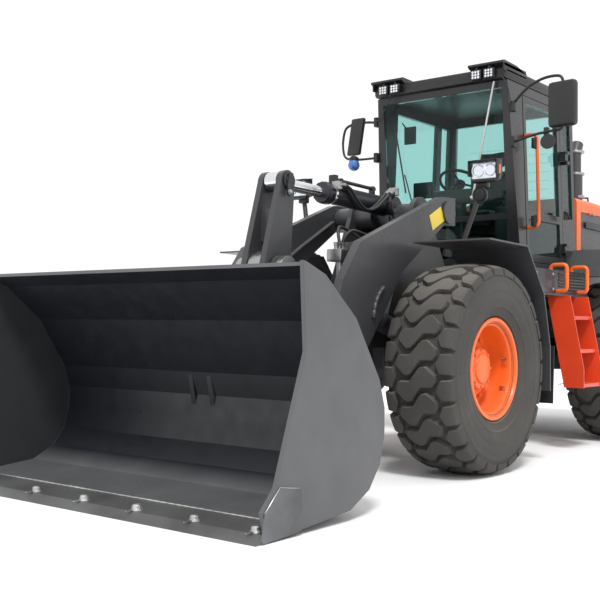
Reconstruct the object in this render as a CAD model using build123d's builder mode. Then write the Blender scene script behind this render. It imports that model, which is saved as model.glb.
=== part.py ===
"""An articulated wheel loader of the 14-tonne class, one node per sub-part, in millimetres.

+X is forward, +Y the machine's left and +Z up. The origin is on the ground, in the middle of the
machine's length. Pins of the lifting gear are (x, z) pairs in the machine's middle plane.
"""
import os
from math import hypot

from build123d import *

os.makedirs("parts", exist_ok=True)

# Running gear
FRONT_AXLE_X = 1000
WHEELBASE = 3020
REAR_AXLE_X = FRONT_AXLE_X - WHEELBASE
HINGE_X = (FRONT_AXLE_X + REAR_AXLE_X) / 2
TRACK_HALF = 965
TYRE_RADIUS = 746
TYRE_WIDTH = 521
BEAD_RADIUS = 318
FLANGE_RADIUS = 362
RIM_WIDTH = 432
RIM_WALL = 16
HUB_RADIUS = 188
HUB_REACH = 175
SPINDLE_RADIUS = 90

# Clearances
SEAT_GAP = 0.3
RUNNING_GAP = 0.05
SIDE_GAP = 5
JOINT_GAP = 8
DOOR_GAP = 6

# Door hinges
HINGE_RADIUS = 12
HINGE_PIN = 5
HINGE_LEAF = 60
HINGE_SOCKET = 30
HINGE_ROOM = 1

# Chassis
PLATE = 40
FRONT_PLATE_Y = 270
RAIL_Y = 300
NECK_HALF = 150
KNUCKLE_RADIUS = 110
HINGE_PIN_RADIUS = 45
LUG_HEIGHT = 80
UPPER_LUG_Z = 1060
LOWER_LUG_Z = 600
FRAME_FRONT_X = 1370
FRAME_REAR_X = -3300
STEER_Y = 385
STEER_Z = 850
STEER_BACK = 620
STEER_AHEAD = 430

# Lifting gear: pins at rest
BOOM_PIVOT = (550, 1930)
BUCKET_PIN = (2555, 330)
CRANK_PIVOT = (2120, 1420)
CRANK_TOP = (2010, 2045)
CRANK_FOOT = (2010, 560)
BUCKET_EAR = (2500, 640)
TILT_BASE = (600, 2010)
LIFT_BASE = (50, 700)
LIFT_EYE = (1430, 1120)
CROSS_TUBE = (1800, 1210)
BOOM_INNER_Y = 480
BOOM_PLATE = 65
BOOM_PIVOT_RADIUS = 60
BUCKET_PIN_RADIUS = 45
CROSS_TUBE_RADIUS = 115
CRANK_INNER_Y = 60
CRANK_PLATE = 45
CRANK_PIN_RADIUS = 50
SMALL_PIN_RADIUS = 35
CRANK_HUB_RADIUS = 145
CRANK_DRUM_RADIUS = 135
PIN_CAP = 50
BUCKET_CAP_RADIUS = 100
CRANK_CAP_RADIUS = 92
LINK_CAP_RADIUS = 105
LIFT_Y = 395
LIFT_BARREL_RADIUS = 74
LIFT_BARREL_LENGTH = 1310
LIFT_ROD_RADIUS = 40
TILT_BARREL_RADIUS = 76
TILT_BARREL_LENGTH = 880
TILT_ROD_RADIUS = 42
BARREL_WALL = 12

# Bucket
BUCKET_HALF = 1360
BUCKET_SIDE = 25
BUCKET_SHELL = 22
GUARD = 10
EDGE_TIP_X = 3820
EDGE_BACK_X = 3520
EDGE_THICKNESS = 38

# Cab
CAB_FLOOR_Z = 1526
CAB_TOP_Z = 3130
ROOF_TOP_Z = 3280
CAB_WALL = 45
GLASS = 6
CAB_FOOT = (-1600, -430, 705)
CAB_HEAD = (-1640, -270, 645)
DOOR_SPAN = (-1330, -545)
DOOR_HEIGHT = (1600, 3050)
CAB_HINGE_XY = (-1334, 720)
CAB_HINGE_Z = (1750, 2600)
ROOF_X = (-1740, -215)
ROOF_HALF = 655

# Engine housing
HOOD_FRONT_X = -1876
HOOD_REAR_X = -3660
HOOD_LEVEL_X = -2300
HOOD_HALF = 600
HOOD_TOP_Z = 2306
HOOD_BOTTOM_Z = 1780
HOOD_SKIN = 30

MIRRORED = (1, -1)


def block(x, y, z, mode=Mode.ADD):
    """A box between two values of x, of y and of z, each pair in any order."""
    middle = tuple((low + high) / 2 for low, high in (x, y, z))
    size = [abs(high - low) for low, high in (x, y, z)]
    with Locations(middle):
        Box(*size, mode=mode)


def bar(start, end, radius, mode=Mode.ADD):
    """A round bar between two points."""
    run = Vector(*end) - Vector(*start)
    with Locations(Plane(origin=start, z_dir=run)):
        Cylinder(radius, run.length, align=(Align.CENTER, Align.CENTER, Align.MIN), mode=mode)


def cross_bar(pin, low_y, high_y, radius, mode=Mode.ADD):
    """A round bar or bore along Y through a pin's place."""
    bar((pin[0], low_y, pin[1]), (pin[0], high_y, pin[1]), radius, mode)


def side_plate(points, low_y, high_y, mode=Mode.ADD):
    """A flat plate with a side-view outline of straight edges, between two values of y."""
    with BuildSketch(Plane.XZ.offset(-max(low_y, high_y))) as outline:
        with BuildLine():
            Polyline(*points, close=True)
        make_face()
    extrude(outline.sketch, amount=abs(high_y - low_y), mode=mode)


def link_plate(ends, low_y, high_y, mode=Mode.ADD):
    """A flat plate whose outline wraps round discs, each given as (pin, radius)."""
    with BuildSketch(Plane.XZ.offset(-max(low_y, high_y))) as outline:
        for pin, radius in ends:
            with Locations(pin):
                Circle(radius)
        make_hull()
    extrude(outline.sketch, amount=abs(high_y - low_y), mode=mode)


def flat_plate(discs, low_z, high_z, mode=Mode.ADD):
    """A level plate whose outline wraps round discs, each given as (x, y, radius)."""
    with BuildSketch(Plane.XY.offset(low_z)) as outline:
        for x, y, radius in discs:
            with Locations((x, y)):
                Circle(radius)
        make_hull()
    extrude(outline.sketch, amount=high_z - low_z, mode=mode)


def turned(points, x, y, z, mode=Mode.ADD):
    """A body turned about the Y line through (x, z), from (radius, y) points."""
    with BuildSketch(Plane.XY.move(Location((x, y, z)))) as section:
        with BuildLine():
            Polyline(*points, close=True)
        make_face()
    revolve(section.sketch, axis=Axis((x, y, z), (0, 1, 0)), mode=mode)


def tube(points, radius, bend):
    """A bent round rail."""
    with BuildLine() as route:
        FilletPolyline(*points, radius=bend)
    with BuildSketch(Plane(origin=route.line @ 0, z_dir=route.line % 0)) as section:
        Circle(radius)
    sweep(section.sketch, path=route.line)


def hinge_leaf(middle, way):
    """A door's hinge knuckle with its pin, and room at both ends for the carrier's sockets."""
    for end in MIRRORED:
        near = middle + way * end * HINGE_LEAF / 2
        bar(near, near + way * end * (HINGE_SOCKET + SIDE_GAP), HINGE_RADIUS + HINGE_ROOM, Mode.SUBTRACT)
    bar(middle - way * HINGE_LEAF / 2, middle + way * HINGE_LEAF / 2, HINGE_RADIUS)
    pin_half = HINGE_LEAF / 2 + HINGE_SOCKET - SIDE_GAP
    bar(middle - way * pin_half, middle + way * pin_half, HINGE_PIN)


def hinge_sockets(middle, way):
    """The carrier's two sockets for one hinge pin, and room between them for the door's knuckle."""
    room = way * (HINGE_LEAF / 2 + SEAT_GAP)
    bar(middle - room, middle + room, HINGE_RADIUS + HINGE_ROOM, Mode.SUBTRACT)
    for end in MIRRORED:
        near = middle + room * end
        far = near + way * end * HINGE_SOCKET
        bar(near, far, HINGE_RADIUS)
        bar(near, far, HINGE_PIN + RUNNING_GAP, Mode.SUBTRACT)


def save(built, name):
    built.part.label = name
    export_step(built.part, f"parts/{name}.step")


def span(pin, other):
    """Distance and direction between two pins."""
    dx, dz = other[0] - pin[0], other[1] - pin[1]
    return hypot(dx, dz), Vector(dx, 0, dz).normalized()


# Wheels: four tyres with the bulge of a 20.5-25 section on steel rims with deep hubs
def make_tyre(x, y):
    half = TYRE_WIDTH / 2
    seat = BEAD_RADIUS + SEAT_GAP
    lip = RIM_WIDTH / 2 - RIM_WALL - SEAT_GAP
    with BuildPart() as tyre:
        with BuildSketch(Plane.XY.move(Location((x, y, TYRE_RADIUS)))) as section:
            with BuildLine():
                Polyline((seat, -lip), (seat, lip), (FLANGE_RADIUS + 4, lip))
                ThreePointArc((FLANGE_RADIUS + 4, lip), (0.72 * TYRE_RADIUS, half), (0.93 * TYRE_RADIUS, 0.9 * half))
                Line((0.93 * TYRE_RADIUS, 0.9 * half), (0.985 * TYRE_RADIUS, 0.78 * half))
                ThreePointArc((0.985 * TYRE_RADIUS, 0.78 * half), (TYRE_RADIUS, 0), (0.985 * TYRE_RADIUS, -0.78 * half))
                Line((0.985 * TYRE_RADIUS, -0.78 * half), (0.93 * TYRE_RADIUS, -0.9 * half))
                ThreePointArc(
                    (0.93 * TYRE_RADIUS, -0.9 * half), (0.72 * TYRE_RADIUS, -half), (FLANGE_RADIUS + 4, -lip)
                )
                Line((FLANGE_RADIUS + 4, -lip), (seat, -lip))
            make_face()
        revolve(section.sketch, axis=Axis((x, y, TYRE_RADIUS), (0, 1, 0)))
    return tyre


def make_rim(x, side):
    y = side * TRACK_HALF
    half = RIM_WIDTH / 2
    with BuildPart() as rim:
        turned(
            [
                (FLANGE_RADIUS, half),
                (FLANGE_RADIUS, half - RIM_WALL),
                (BEAD_RADIUS, half - RIM_WALL),
                (BEAD_RADIUS, RIM_WALL - half),
                (FLANGE_RADIUS, RIM_WALL - half),
                (FLANGE_RADIUS, -half),
                (BEAD_RADIUS - RIM_WALL, -half),
                (BEAD_RADIUS - RIM_WALL, half),
            ],
            x,
            y,
            TYRE_RADIUS,
        )
        centre = (x, TYRE_RADIUS)
        inner, outer = y + side * 20, y + side * 45
        cross_bar(centre, inner, outer, BEAD_RADIUS - RIM_WALL + 2)
        inner, outer = y, y + side * HUB_REACH
        cross_bar(centre, inner, outer, HUB_RADIUS)
        inner, outer = y, y + side * (HUB_REACH - 60)
        cross_bar(centre, inner, outer, SPINDLE_RADIUS + RUNNING_GAP, Mode.SUBTRACT)
    return rim


WHEELS = {
    "front_left": (FRONT_AXLE_X, 1),
    "front_right": (FRONT_AXLE_X, -1),
    "rear_left": (REAR_AXLE_X, 1),
    "rear_right": (REAR_AXLE_X, -1),
}
for place, (x, side) in WHEELS.items():
    save(make_tyre(x, side * TRACK_HALF), f"tyre_{place}")
    save(make_rim(x, side), f"rim_{place}")


# Axles: cast housings with a differential bulge, brake drums and spindles
def axle_housing(x, pinion_way):
    spindle_end = TRACK_HALF + HUB_REACH - 65
    drum_end = TRACK_HALF - SIDE_GAP
    turned(
        [
            (0, -spindle_end),
            (SPINDLE_RADIUS, -spindle_end),
            (SPINDLE_RADIUS, -drum_end),
            (170, -drum_end),
            (190, -drum_end + 150),
            (190, -640),
            (110, -600),
            (120, -255),
            (215, -180),
            (245, -60),
            (245, 60),
            (215, 180),
            (120, 255),
            (110, 600),
            (190, 640),
            (190, drum_end - 150),
            (170, drum_end),
            (SPINDLE_RADIUS, drum_end),
            (SPINDLE_RADIUS, spindle_end),
            (0, spindle_end),
        ],
        x,
        0,
        TYRE_RADIUS,
    )
    bar((x, 0, TYRE_RADIUS), (x + pinion_way * 345, 0, TYRE_RADIUS), TRUNNION_RADIUS)


TRUNNION_RADIUS = 80
FRONT_ARCH_Z = 880
with BuildPart() as front_axle:
    axle_housing(FRONT_AXLE_X, -1)
    for side in MIRRORED:
        seat_y = (side * (FRONT_PLATE_Y - 30), side * (FRONT_PLATE_Y + PLATE + 30))
        block((FRONT_AXLE_X - 130, FRONT_AXLE_X + 130), seat_y, (TYRE_RADIUS, FRONT_ARCH_Z))
save(front_axle, "front_axle")

with BuildPart() as rear_axle:
    axle_housing(REAR_AXLE_X, 1)
    bar((REAR_AXLE_X, 0, TYRE_RADIUS), (REAR_AXLE_X - 345, 0, TYRE_RADIUS), TRUNNION_RADIUS)
save(rear_axle, "rear_axle")

# Front frame: two plates that carry the boom tower, the axle and the knuckle to the rear frame
TOWER = [
    (HINGE_X + STEER_AHEAD - 10, 560),
    (560, 560),
    (760, FRONT_ARCH_Z),
    (FRAME_FRONT_X, FRONT_ARCH_Z),
    (FRAME_FRONT_X, 1010),
    (1050, 1090),
    (BOOM_PIVOT[0] + 140, BOOM_PIVOT[1]),
    (BOOM_PIVOT[0] - 140, BOOM_PIVOT[1]),
    (150, 1500),
    (HINGE_X + STEER_AHEAD - 10, 1180),
]
FRONT_PLATE_OUT = FRONT_PLATE_Y + PLATE
with BuildPart() as front_frame:
    for side in MIRRORED:
        low, high = side * FRONT_PLATE_Y, side * FRONT_PLATE_OUT
        side_plate(TOWER, low, high)
        link_plate([(BOOM_PIVOT, 140)], low, high)
        low, high = side * (CRANK_INNER_Y + CRANK_PLATE + 5), side * (BOOM_INNER_Y - SIDE_GAP)
        cross_bar(BOOM_PIVOT, low, high, 95)
        low, high = side * FRONT_PLATE_OUT, side * (BOOM_INNER_Y + BOOM_PLATE + 20)
        cross_bar(BOOM_PIVOT, low, high, BOOM_PIVOT_RADIUS)
        low, high = side * (BOOM_INNER_Y + BOOM_PLATE + 5), side * (BOOM_INNER_Y + BOOM_PLATE + 20)
        cross_bar(BOOM_PIVOT, low, high, 88)
        low, high = side * 70, side * 110
        link_plate([(TILT_BASE, 72), ((430, 1880), 25), ((360, 1760), 25)], low, high)
        low, high = side * FRONT_PLATE_OUT, side * (LIFT_Y + 92)
        cross_bar(LIFT_BASE, low, high, BUCKET_PIN_RADIUS)
        low, high = side * (LIFT_Y + 77), side * (LIFT_Y + 92)
        cross_bar(LIFT_BASE, low, high, 70)
        low, high = side * FRONT_PLATE_Y, side * 640
        block((120, 200), (low, high), (1090, 1190))
        for low_z in (STEER_Z - 55, STEER_Z + 33):
            flat_plate(
                [
                    (HINGE_X + STEER_AHEAD, side * STEER_Y, 48),
                    (HINGE_X + STEER_AHEAD + 20, side * 300, 20),
                    (HINGE_X + STEER_AHEAD + 60, side * 300, 20),
                ],
                low_z,
                low_z + 22,
            )
    rear_wall = [(410, 1900), (150, 1500), (-90, 1180), (-60, 1160), (185, 1482), (450, 1890)]
    side_plate(rear_wall, -FRONT_PLATE_Y, FRONT_PLATE_Y)
    front_wall = [(1050, 1090), (780, 1720), (750, 1705), (1020, 1070)]
    side_plate(front_wall, -FRONT_PLATE_Y, FRONT_PLATE_Y)
    block((FRAME_FRONT_X - 40, FRAME_FRONT_X), (-FRONT_PLATE_Y, FRONT_PLATE_Y), (FRONT_ARCH_Z, 1010))
    block((-90, 560), (-FRONT_PLATE_Y, FRONT_PLATE_Y), (560, 590))
    cross_bar(TILT_BASE, -118, 118, SMALL_PIN_RADIUS)
    knuckle_end = HINGE_X + STEER_AHEAD
    block((knuckle_end - 10, knuckle_end + 30), (-FRONT_PLATE_Y, FRONT_PLATE_Y), (560, 1180))
    for low_z in (LOWER_LUG_Z, UPPER_LUG_Z):
        lug = [(HINGE_X, 0, KNUCKLE_RADIUS)]
        lug += [(knuckle_end - 30, side * (NECK_HALF - 30), 30) for side in MIRRORED]
        flat_plate(lug, low_z, low_z + LUG_HEIGHT)
    for side in MIRRORED:
        low, high = side * (NECK_HALF - 40), side * NECK_HALF
        block((HINGE_X + 135, knuckle_end), (low, high), (LOWER_LUG_Z, UPPER_LUG_Z + LUG_HEIGHT))
    pin_foot = (HINGE_X, 0, LOWER_LUG_Z)
    pin_head = (HINGE_X, 0, UPPER_LUG_Z + LUG_HEIGHT)
    bar(pin_foot, pin_head, HINGE_PIN_RADIUS + RUNNING_GAP, Mode.SUBTRACT)
save(front_frame, "front_frame")

# Rear frame: rails, the fork round the knuckle, and hangers for the swinging axle
RAIL = [
    (HINGE_X - STEER_BACK - 20, 560),
    (-1450, 560),
    (-1640, 945),
    (-2420, 945),
    (-2560, 700),
    (FRAME_REAR_X, 700),
    (FRAME_REAR_X, 1240),
    (HINGE_X - STEER_BACK - 20, 1240),
]
FORK_PLATE = 40
NECK_END = HINGE_X - STEER_BACK - 20
with BuildPart() as rear_frame:
    for side in MIRRORED:
        low, high = side * RAIL_Y, side * (RAIL_Y + PLATE)
        side_plate(RAIL, low, high)
        for low_z in (STEER_Z - 55, STEER_Z + 33):
            flat_plate(
                [
                    (HINGE_X - STEER_BACK, side * STEER_Y, 48),
                    (NECK_END - 20, side * 320, 20),
                    (NECK_END - 200, side * 320, 20),
                ],
                low_z,
                low_z + 22,
            )
        bar(
            (HINGE_X - STEER_BACK, side * STEER_Y, STEER_Z - 60),
            (HINGE_X - STEER_BACK, side * STEER_Y, STEER_Z + 60),
            25,
        )
    block((NECK_END - 40, NECK_END), (-RAIL_Y, RAIL_Y), (560, 1240))
    block((FRAME_REAR_X, FRAME_REAR_X + 40), (-RAIL_Y, RAIL_Y), (700, 1240))
    for lug_z in (LOWER_LUG_Z, UPPER_LUG_Z):
        for low_z in (lug_z - SIDE_GAP - FORK_PLATE, lug_z + LUG_HEIGHT + SIDE_GAP):
            fork = [(HINGE_X, 0, KNUCKLE_RADIUS)]
            fork += [(NECK_END, side * (NECK_HALF - 30), 30) for side in MIRRORED]
            flat_plate(fork, low_z, low_z + FORK_PLATE)
    neck_low = LOWER_LUG_Z - SIDE_GAP - FORK_PLATE
    neck_high = UPPER_LUG_Z + LUG_HEIGHT + SIDE_GAP + FORK_PLATE
    for side in MIRRORED:
        low, high = side * (NECK_HALF - 40), side * NECK_HALF
        block((NECK_END, HINGE_X - 260), (low, high), (neck_low, neck_high))
    for lug_z in (LOWER_LUG_Z, UPPER_LUG_Z):
        bar(
            (HINGE_X, 0, lug_z - SIDE_GAP - FORK_PLATE - 12),
            (HINGE_X, 0, lug_z + LUG_HEIGHT + SIDE_GAP + FORK_PLATE + 12),
            HINGE_PIN_RADIUS,
        )
    for way in MIRRORED:
        near, far = sorted((REAR_AXLE_X + way * 285, REAR_AXLE_X + way * 325))
        with BuildSketch(Plane.YZ.offset(near)) as hanger:
            with Locations((0, TYRE_RADIUS)):
                Circle(130)
            with Locations((-240, 960), (240, 960)):
                Circle(60)
            make_hull()
        extrude(hanger.sketch, amount=far - near)
        for side in MIRRORED:
            block((near, far), (side * 210, side * RAIL_Y), (960, 1240))
        bar((near - 1, 0, TYRE_RADIUS), (far + 1, 0, TYRE_RADIUS), TRUNNION_RADIUS + RUNNING_GAP, Mode.SUBTRACT)
save(rear_frame, "rear_frame")

# Counterweight: one casting that closes the rear end
with BuildPart() as counterweight:
    with BuildSketch(Plane.XY.offset(620)) as outline:
        with BuildLine():
            Polyline(
                (FRAME_REAR_X, -1180),
                (FRAME_REAR_X, 1180),
                (-3560, 1180),
                (-3740, 1040),
                (-3820, 700),
                (-3820, -700),
                (-3740, -1040),
                (-3560, -1180),
                close=True,
            )
        make_face()
    extrude(outline.sketch, amount=1300 - 620)
    long_edges = counterweight.edges().filter_by(Axis.Z)
    fillet(long_edges.group_by(Axis.X)[0], 60)
    chamfer(counterweight.edges().group_by(Axis.Z)[0], 40)
save(counterweight, "counterweight")

# Engine and gearbox: one heavy block on feet across the rails
with BuildPart() as engine_block:
    block((-3150, -2360), (-290, 290), (1020, 1740))
    block((-2360, -1640), (-200, 200), (1075, 1200))
    block((-1640, -1260), (-250, 250), (680, 1200))
    for foot_x in (-3000, -2430):
        block((foot_x - 60, foot_x + 60), (-RAIL_Y - PLATE, RAIL_Y + PLATE), (1240, 1290))
    block((-1500, -1400), (-RAIL_Y - PLATE, RAIL_Y + PLATE), (1240, 1270))
    block((-1500, -1400), (-250, 250), (1200, 1240))
save(engine_block, "engine_block")

# Hood: a shell over the engine, open at the side doors and at the rear grille
HOOD_SIDE = [
    (HOOD_FRONT_X, HOOD_BOTTOM_Z),
    (HOOD_FRONT_X, HOOD_TOP_Z),
    (HOOD_LEVEL_X, HOOD_TOP_Z),
    (-2900, HOOD_TOP_Z - 16),
    (HOOD_REAR_X + 20, 2190),
    (HOOD_REAR_X, HOOD_BOTTOM_Z),
]
HOOD_ROOM = [
    (HOOD_FRONT_X - HOOD_SKIN, HOOD_BOTTOM_Z - 1),
    (HOOD_FRONT_X - HOOD_SKIN, HOOD_TOP_Z - HOOD_SKIN),
    (HOOD_LEVEL_X, HOOD_TOP_Z - HOOD_SKIN),
    (-2900, HOOD_TOP_Z - 16 - HOOD_SKIN),
    (HOOD_REAR_X + HOOD_SKIN + 20, 2190 - HOOD_SKIN),
    (HOOD_REAR_X + HOOD_SKIN, HOOD_BOTTOM_Z - 1),
]
DOOR_X = (-3420, -1980)
DOOR_Z = (1800, 2170)
GRILLE_Y = 500
GRILLE_Z = (1330, 2110)
DOOR_HINGE_X = (-3170, -2230)
DOOR_HINGE_YZ = (HOOD_HALF + 4, DOOR_Z[1] - 3)
GRILLE_HINGE_Z = (1860, 2000)
GRILLE_HINGE_XY = (HOOD_REAR_X - 34, -GRILLE_Y - DOOR_GAP)
with BuildPart() as hood_shell:
    side_plate(HOOD_SIDE, -HOOD_HALF, HOOD_HALF)
    ridge = hood_shell.edges().filter_by(lambda edge: edge.center().Z > 2150 and edge.length > 400)
    fillet(ridge.filter_by(lambda edge: abs(edge.center().Y) > 500), 55)
    side_plate(HOOD_ROOM, HOOD_SKIN - HOOD_HALF, HOOD_HALF - HOOD_SKIN, Mode.SUBTRACT)
    block(DOOR_X, (-HOOD_HALF - 1, HOOD_HALF + 1), DOOR_Z, Mode.SUBTRACT)
    block((HOOD_REAR_X - 5, HOOD_REAR_X + 60), (-GRILLE_Y, GRILLE_Y), (1700, GRILLE_Z[1]), Mode.SUBTRACT)
    for side in MIRRORED:
        for hinge_x in DOOR_HINGE_X:
            hinge_sockets(Vector(hinge_x, side * DOOR_HINGE_YZ[0], DOOR_HINGE_YZ[1]), Vector(1, 0, 0))
    for hinge_z in GRILLE_HINGE_Z:
        for low_z in (hinge_z - HINGE_LEAF / 2 - SEAT_GAP - HINGE_SOCKET, hinge_z + HINGE_LEAF / 2 + SEAT_GAP):
            arm_y = (GRILLE_HINGE_XY[1] - 40, GRILLE_HINGE_XY[1] - 2)
            block((GRILLE_HINGE_XY[0] - 10, HOOD_REAR_X + 28), arm_y, (low_z, low_z + HINGE_SOCKET))
        hinge_sockets(Vector(*GRILLE_HINGE_XY, hinge_z), Vector(0, 0, 1))
save(hood_shell, "hood_shell")

# Lower housing: dark sheet walls between the rails and the hood
LOWER_HALF = 520
with BuildPart() as lower_housing:
    for side in MIRRORED:
        low, high = side * (LOWER_HALF - 15), side * LOWER_HALF
        block((HOOD_REAR_X + 20, HOOD_FRONT_X), (low, high), (1300, HOOD_BOTTOM_Z - 20))
        low, high = side * RAIL_Y, side * LOWER_HALF
        block((-3600, -2050), (low, high), (1300, 1312))
        low, high = side * (RAIL_Y + 5), side * (LOWER_HALF - 5)
        for rib_x in (-2100, -2800):
            block((rib_x - 10, rib_x + 10), (low, high), (1240, 1312))
    block((HOOD_REAR_X + 20, HOOD_FRONT_X), (-LOWER_HALF, LOWER_HALF), (1765, HOOD_BOTTOM_Z - SEAT_GAP))
    block((-3590, HOOD_FRONT_X - 60), (15 - LOWER_HALF, LOWER_HALF - 15), (1760, HOOD_BOTTOM_Z), Mode.SUBTRACT)
    block((HOOD_FRONT_X - 15, HOOD_FRONT_X), (-LOWER_HALF, LOWER_HALF), (1300, HOOD_BOTTOM_Z - 20))
    for side in MIRRORED:
        low, high = side * (LOWER_HALF - 10), side * HOOD_HALF
        block((HOOD_REAR_X + 20, HOOD_FRONT_X), (low, high), (1765, HOOD_BOTTOM_Z - SEAT_GAP))
save(lower_housing, "lower_housing")

# Engine doors: one gull-wing panel on each side, hinged along its top edge
for name, side in (("engine_door_left", 1), ("engine_door_right", -1)):
    with BuildPart() as engine_door:
        low, high = side * (HOOD_HALF - HOOD_SKIN), side * HOOD_HALF
        door_x = (DOOR_X[0] + DOOR_GAP, DOOR_X[1] - DOOR_GAP)
        block(door_x, (low, high), (DOOR_Z[0] + DOOR_GAP, DOOR_Z[1] - DOOR_GAP))
        for hinge_x in DOOR_HINGE_X:
            hinge_leaf(Vector(hinge_x, side * DOOR_HINGE_YZ[0], DOOR_HINGE_YZ[1]), Vector(1, 0, 0))
    save(engine_door, name)

# Rear grille: a framed panel of bars, hinged on its right edge
with BuildPart() as rear_grille:
    grille_x = (HOOD_REAR_X - 30, HOOD_REAR_X - 6)
    block(grille_x, (-GRILLE_Y, GRILLE_Y), GRILLE_Z)
    block((grille_x[0] - 1, grille_x[1] + 1), (60 - GRILLE_Y, GRILLE_Y - 60), (1390, 2050), Mode.SUBTRACT)
    for level in range(1420, 2040, 55):
        block(grille_x, (50 - GRILLE_Y, GRILLE_Y - 50), (level, level + 22))
    for hinge_z in GRILLE_HINGE_Z:
        hinge_leaf(Vector(*GRILLE_HINGE_XY, hinge_z), Vector(0, 0, 1))
save(rear_grille, "rear_grille")

# Exhaust: a flattened stack that rises behind the cab
EXHAUST = (-2150, 470)
with BuildPart() as exhaust:
    bar((*EXHAUST, HOOD_TOP_Z + SEAT_GAP), (*EXHAUST, 2560), 72)
    tube([(*EXHAUST, 2550), (*EXHAUST, 2780), (EXHAUST[0] - 60, EXHAUST[1], 2880)], 58, 80)
save(exhaust, "exhaust")


# Cab: a hollow frame between a tub and a roof, glazed all round
def cab_body(inset, low_z=CAB_FLOOR_Z, high_z=CAB_TOP_Z):
    """The cab's tapering volume, drawn in by an inset on its four sides."""
    height = CAB_TOP_Z - CAB_FLOOR_Z
    sections = []
    for z in (low_z, high_z):
        share = (z - CAB_FLOOR_Z) / height
        rear, front, half = [foot + (head - foot) * share for foot, head in zip(CAB_FOOT, CAB_HEAD)]
        with BuildSketch(Plane.XY.offset(z)) as level:
            with Locations(((rear + front) / 2, 0)):
                Rectangle(front - rear - 2 * inset, 2 * (half - inset))
        sections.append(level.sketch.face())
    return sections


FLOOR_TOP_Z = CAB_FLOOR_Z + 74
WINDOWS = [
    ((-500, 0), (-590, 590), (2010, 3070)),
    ((-500, 0), (-600, 600), (1640, 1960)),
    ((-2000, -1400), (-560, 560), (2150, 3060)),
    ((-1560, -1390), (500, 1000), (2050, 3040)),
    ((-1560, -1390), (-1000, -500), (2050, 3040)),
    ((-1310, -560), (-1000, -500), (2050, 3040)),
    ((-1310, -560), (-1000, -500), (1650, 1980)),
]
with BuildPart() as cab_frame:
    loft(sections=cab_body(0, FLOOR_TOP_Z, CAB_TOP_Z))
    loft(sections=cab_body(CAB_WALL, FLOOR_TOP_Z, CAB_TOP_Z), mode=Mode.SUBTRACT)
    for window in WINDOWS:
        block(*window, Mode.SUBTRACT)
    block(DOOR_SPAN, (500, 1000), DOOR_HEIGHT, Mode.SUBTRACT)
    for hinge_z in CAB_HINGE_Z:
        for low_z in (hinge_z - HINGE_LEAF / 2 - SEAT_GAP - HINGE_SOCKET, hinge_z + HINGE_LEAF / 2 + SEAT_GAP):
            arm_x = (CAB_HINGE_XY[0] - 50, CAB_HINGE_XY[0])
            block(arm_x, (CAB_HINGE_XY[1] - 80, CAB_HINGE_XY[1] + HINGE_RADIUS), (low_z, low_z + HINGE_SOCKET))
        hinge_sockets(Vector(*CAB_HINGE_XY, hinge_z), Vector(0, 0, 1))
save(cab_frame, "cab_frame")

with BuildPart() as cab_glass:
    loft(sections=cab_body(15, FLOOR_TOP_Z, CAB_TOP_Z))
    loft(sections=cab_body(15 + GLASS, FLOOR_TOP_Z, CAB_TOP_Z), mode=Mode.SUBTRACT)
    with BuildPart(mode=Mode.PRIVATE) as panes:
        for (x0, x1), (y0, y1), (z0, z1) in WINDOWS:
            gap = SEAT_GAP
            block((x0 + gap, x1 - gap), (y0 + gap, y1 - gap), (z0 + gap, z1 - gap))
    add(panes.part, mode=Mode.INTERSECT)
save(cab_glass, "cab_glass")

DOOR_WINDOW = [((-1260, -610), (500, 1000), (2050, 2990)), ((-1260, -610), (500, 1000), (1670, 1980))]
with BuildPart() as cab_door:
    loft(sections=cab_body(0, DOOR_HEIGHT[0] + 6, DOOR_HEIGHT[1] - 6))
    loft(sections=cab_body(CAB_WALL, DOOR_HEIGHT[0] + 6, DOOR_HEIGHT[1] - 6), mode=Mode.SUBTRACT)
    block((DOOR_SPAN[0] + DOOR_GAP, DOOR_SPAN[1] - 14), (500, 1000), (1500, 3200), Mode.INTERSECT)
    for window in DOOR_WINDOW:
        block(*window, Mode.SUBTRACT)
    for hinge_z in CAB_HINGE_Z:
        arm_z = (hinge_z - HINGE_LEAF / 2, hinge_z + HINGE_LEAF / 2)
        arm_x = (CAB_HINGE_XY[0] + HINGE_RADIUS, DOOR_SPAN[0] + 50)
        block(arm_x, (CAB_HINGE_XY[1] - 60, CAB_HINGE_XY[1] + HINGE_RADIUS), arm_z)
        block((CAB_HINGE_XY[0], arm_x[1]), (CAB_HINGE_XY[1] - 8, CAB_HINGE_XY[1] + HINGE_RADIUS), arm_z)
        hinge_leaf(Vector(*CAB_HINGE_XY, hinge_z), Vector(0, 0, 1))
save(cab_door, "cab_door")

with BuildPart() as door_glass:
    loft(sections=cab_body(15, FLOOR_TOP_Z, CAB_TOP_Z))
    loft(sections=cab_body(15 + GLASS, FLOOR_TOP_Z, CAB_TOP_Z), mode=Mode.SUBTRACT)
    with BuildPart(mode=Mode.PRIVATE) as door_panes:
        for (x0, x1), (y0, y1), (z0, z1) in DOOR_WINDOW:
            gap = SEAT_GAP
            block((x0 + gap, x1 - gap), (y0 + gap, y1 - gap), (z0 + gap, z1 - gap))
    add(door_panes.part, mode=Mode.INTERSECT)
save(door_glass, "door_glass")

with BuildPart() as cab_floor:
    loft(sections=cab_body(0, CAB_FLOOR_Z, FLOOR_TOP_Z))
    block((-1510, -1390), (-RAIL_Y - PLATE, RAIL_Y + PLATE), (1270, CAB_FLOOR_Z))
    block((-1330, -1240), (-RAIL_Y - PLATE, RAIL_Y + PLATE), (1240, CAB_FLOOR_Z))
save(cab_floor, "cab_floor")

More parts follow.
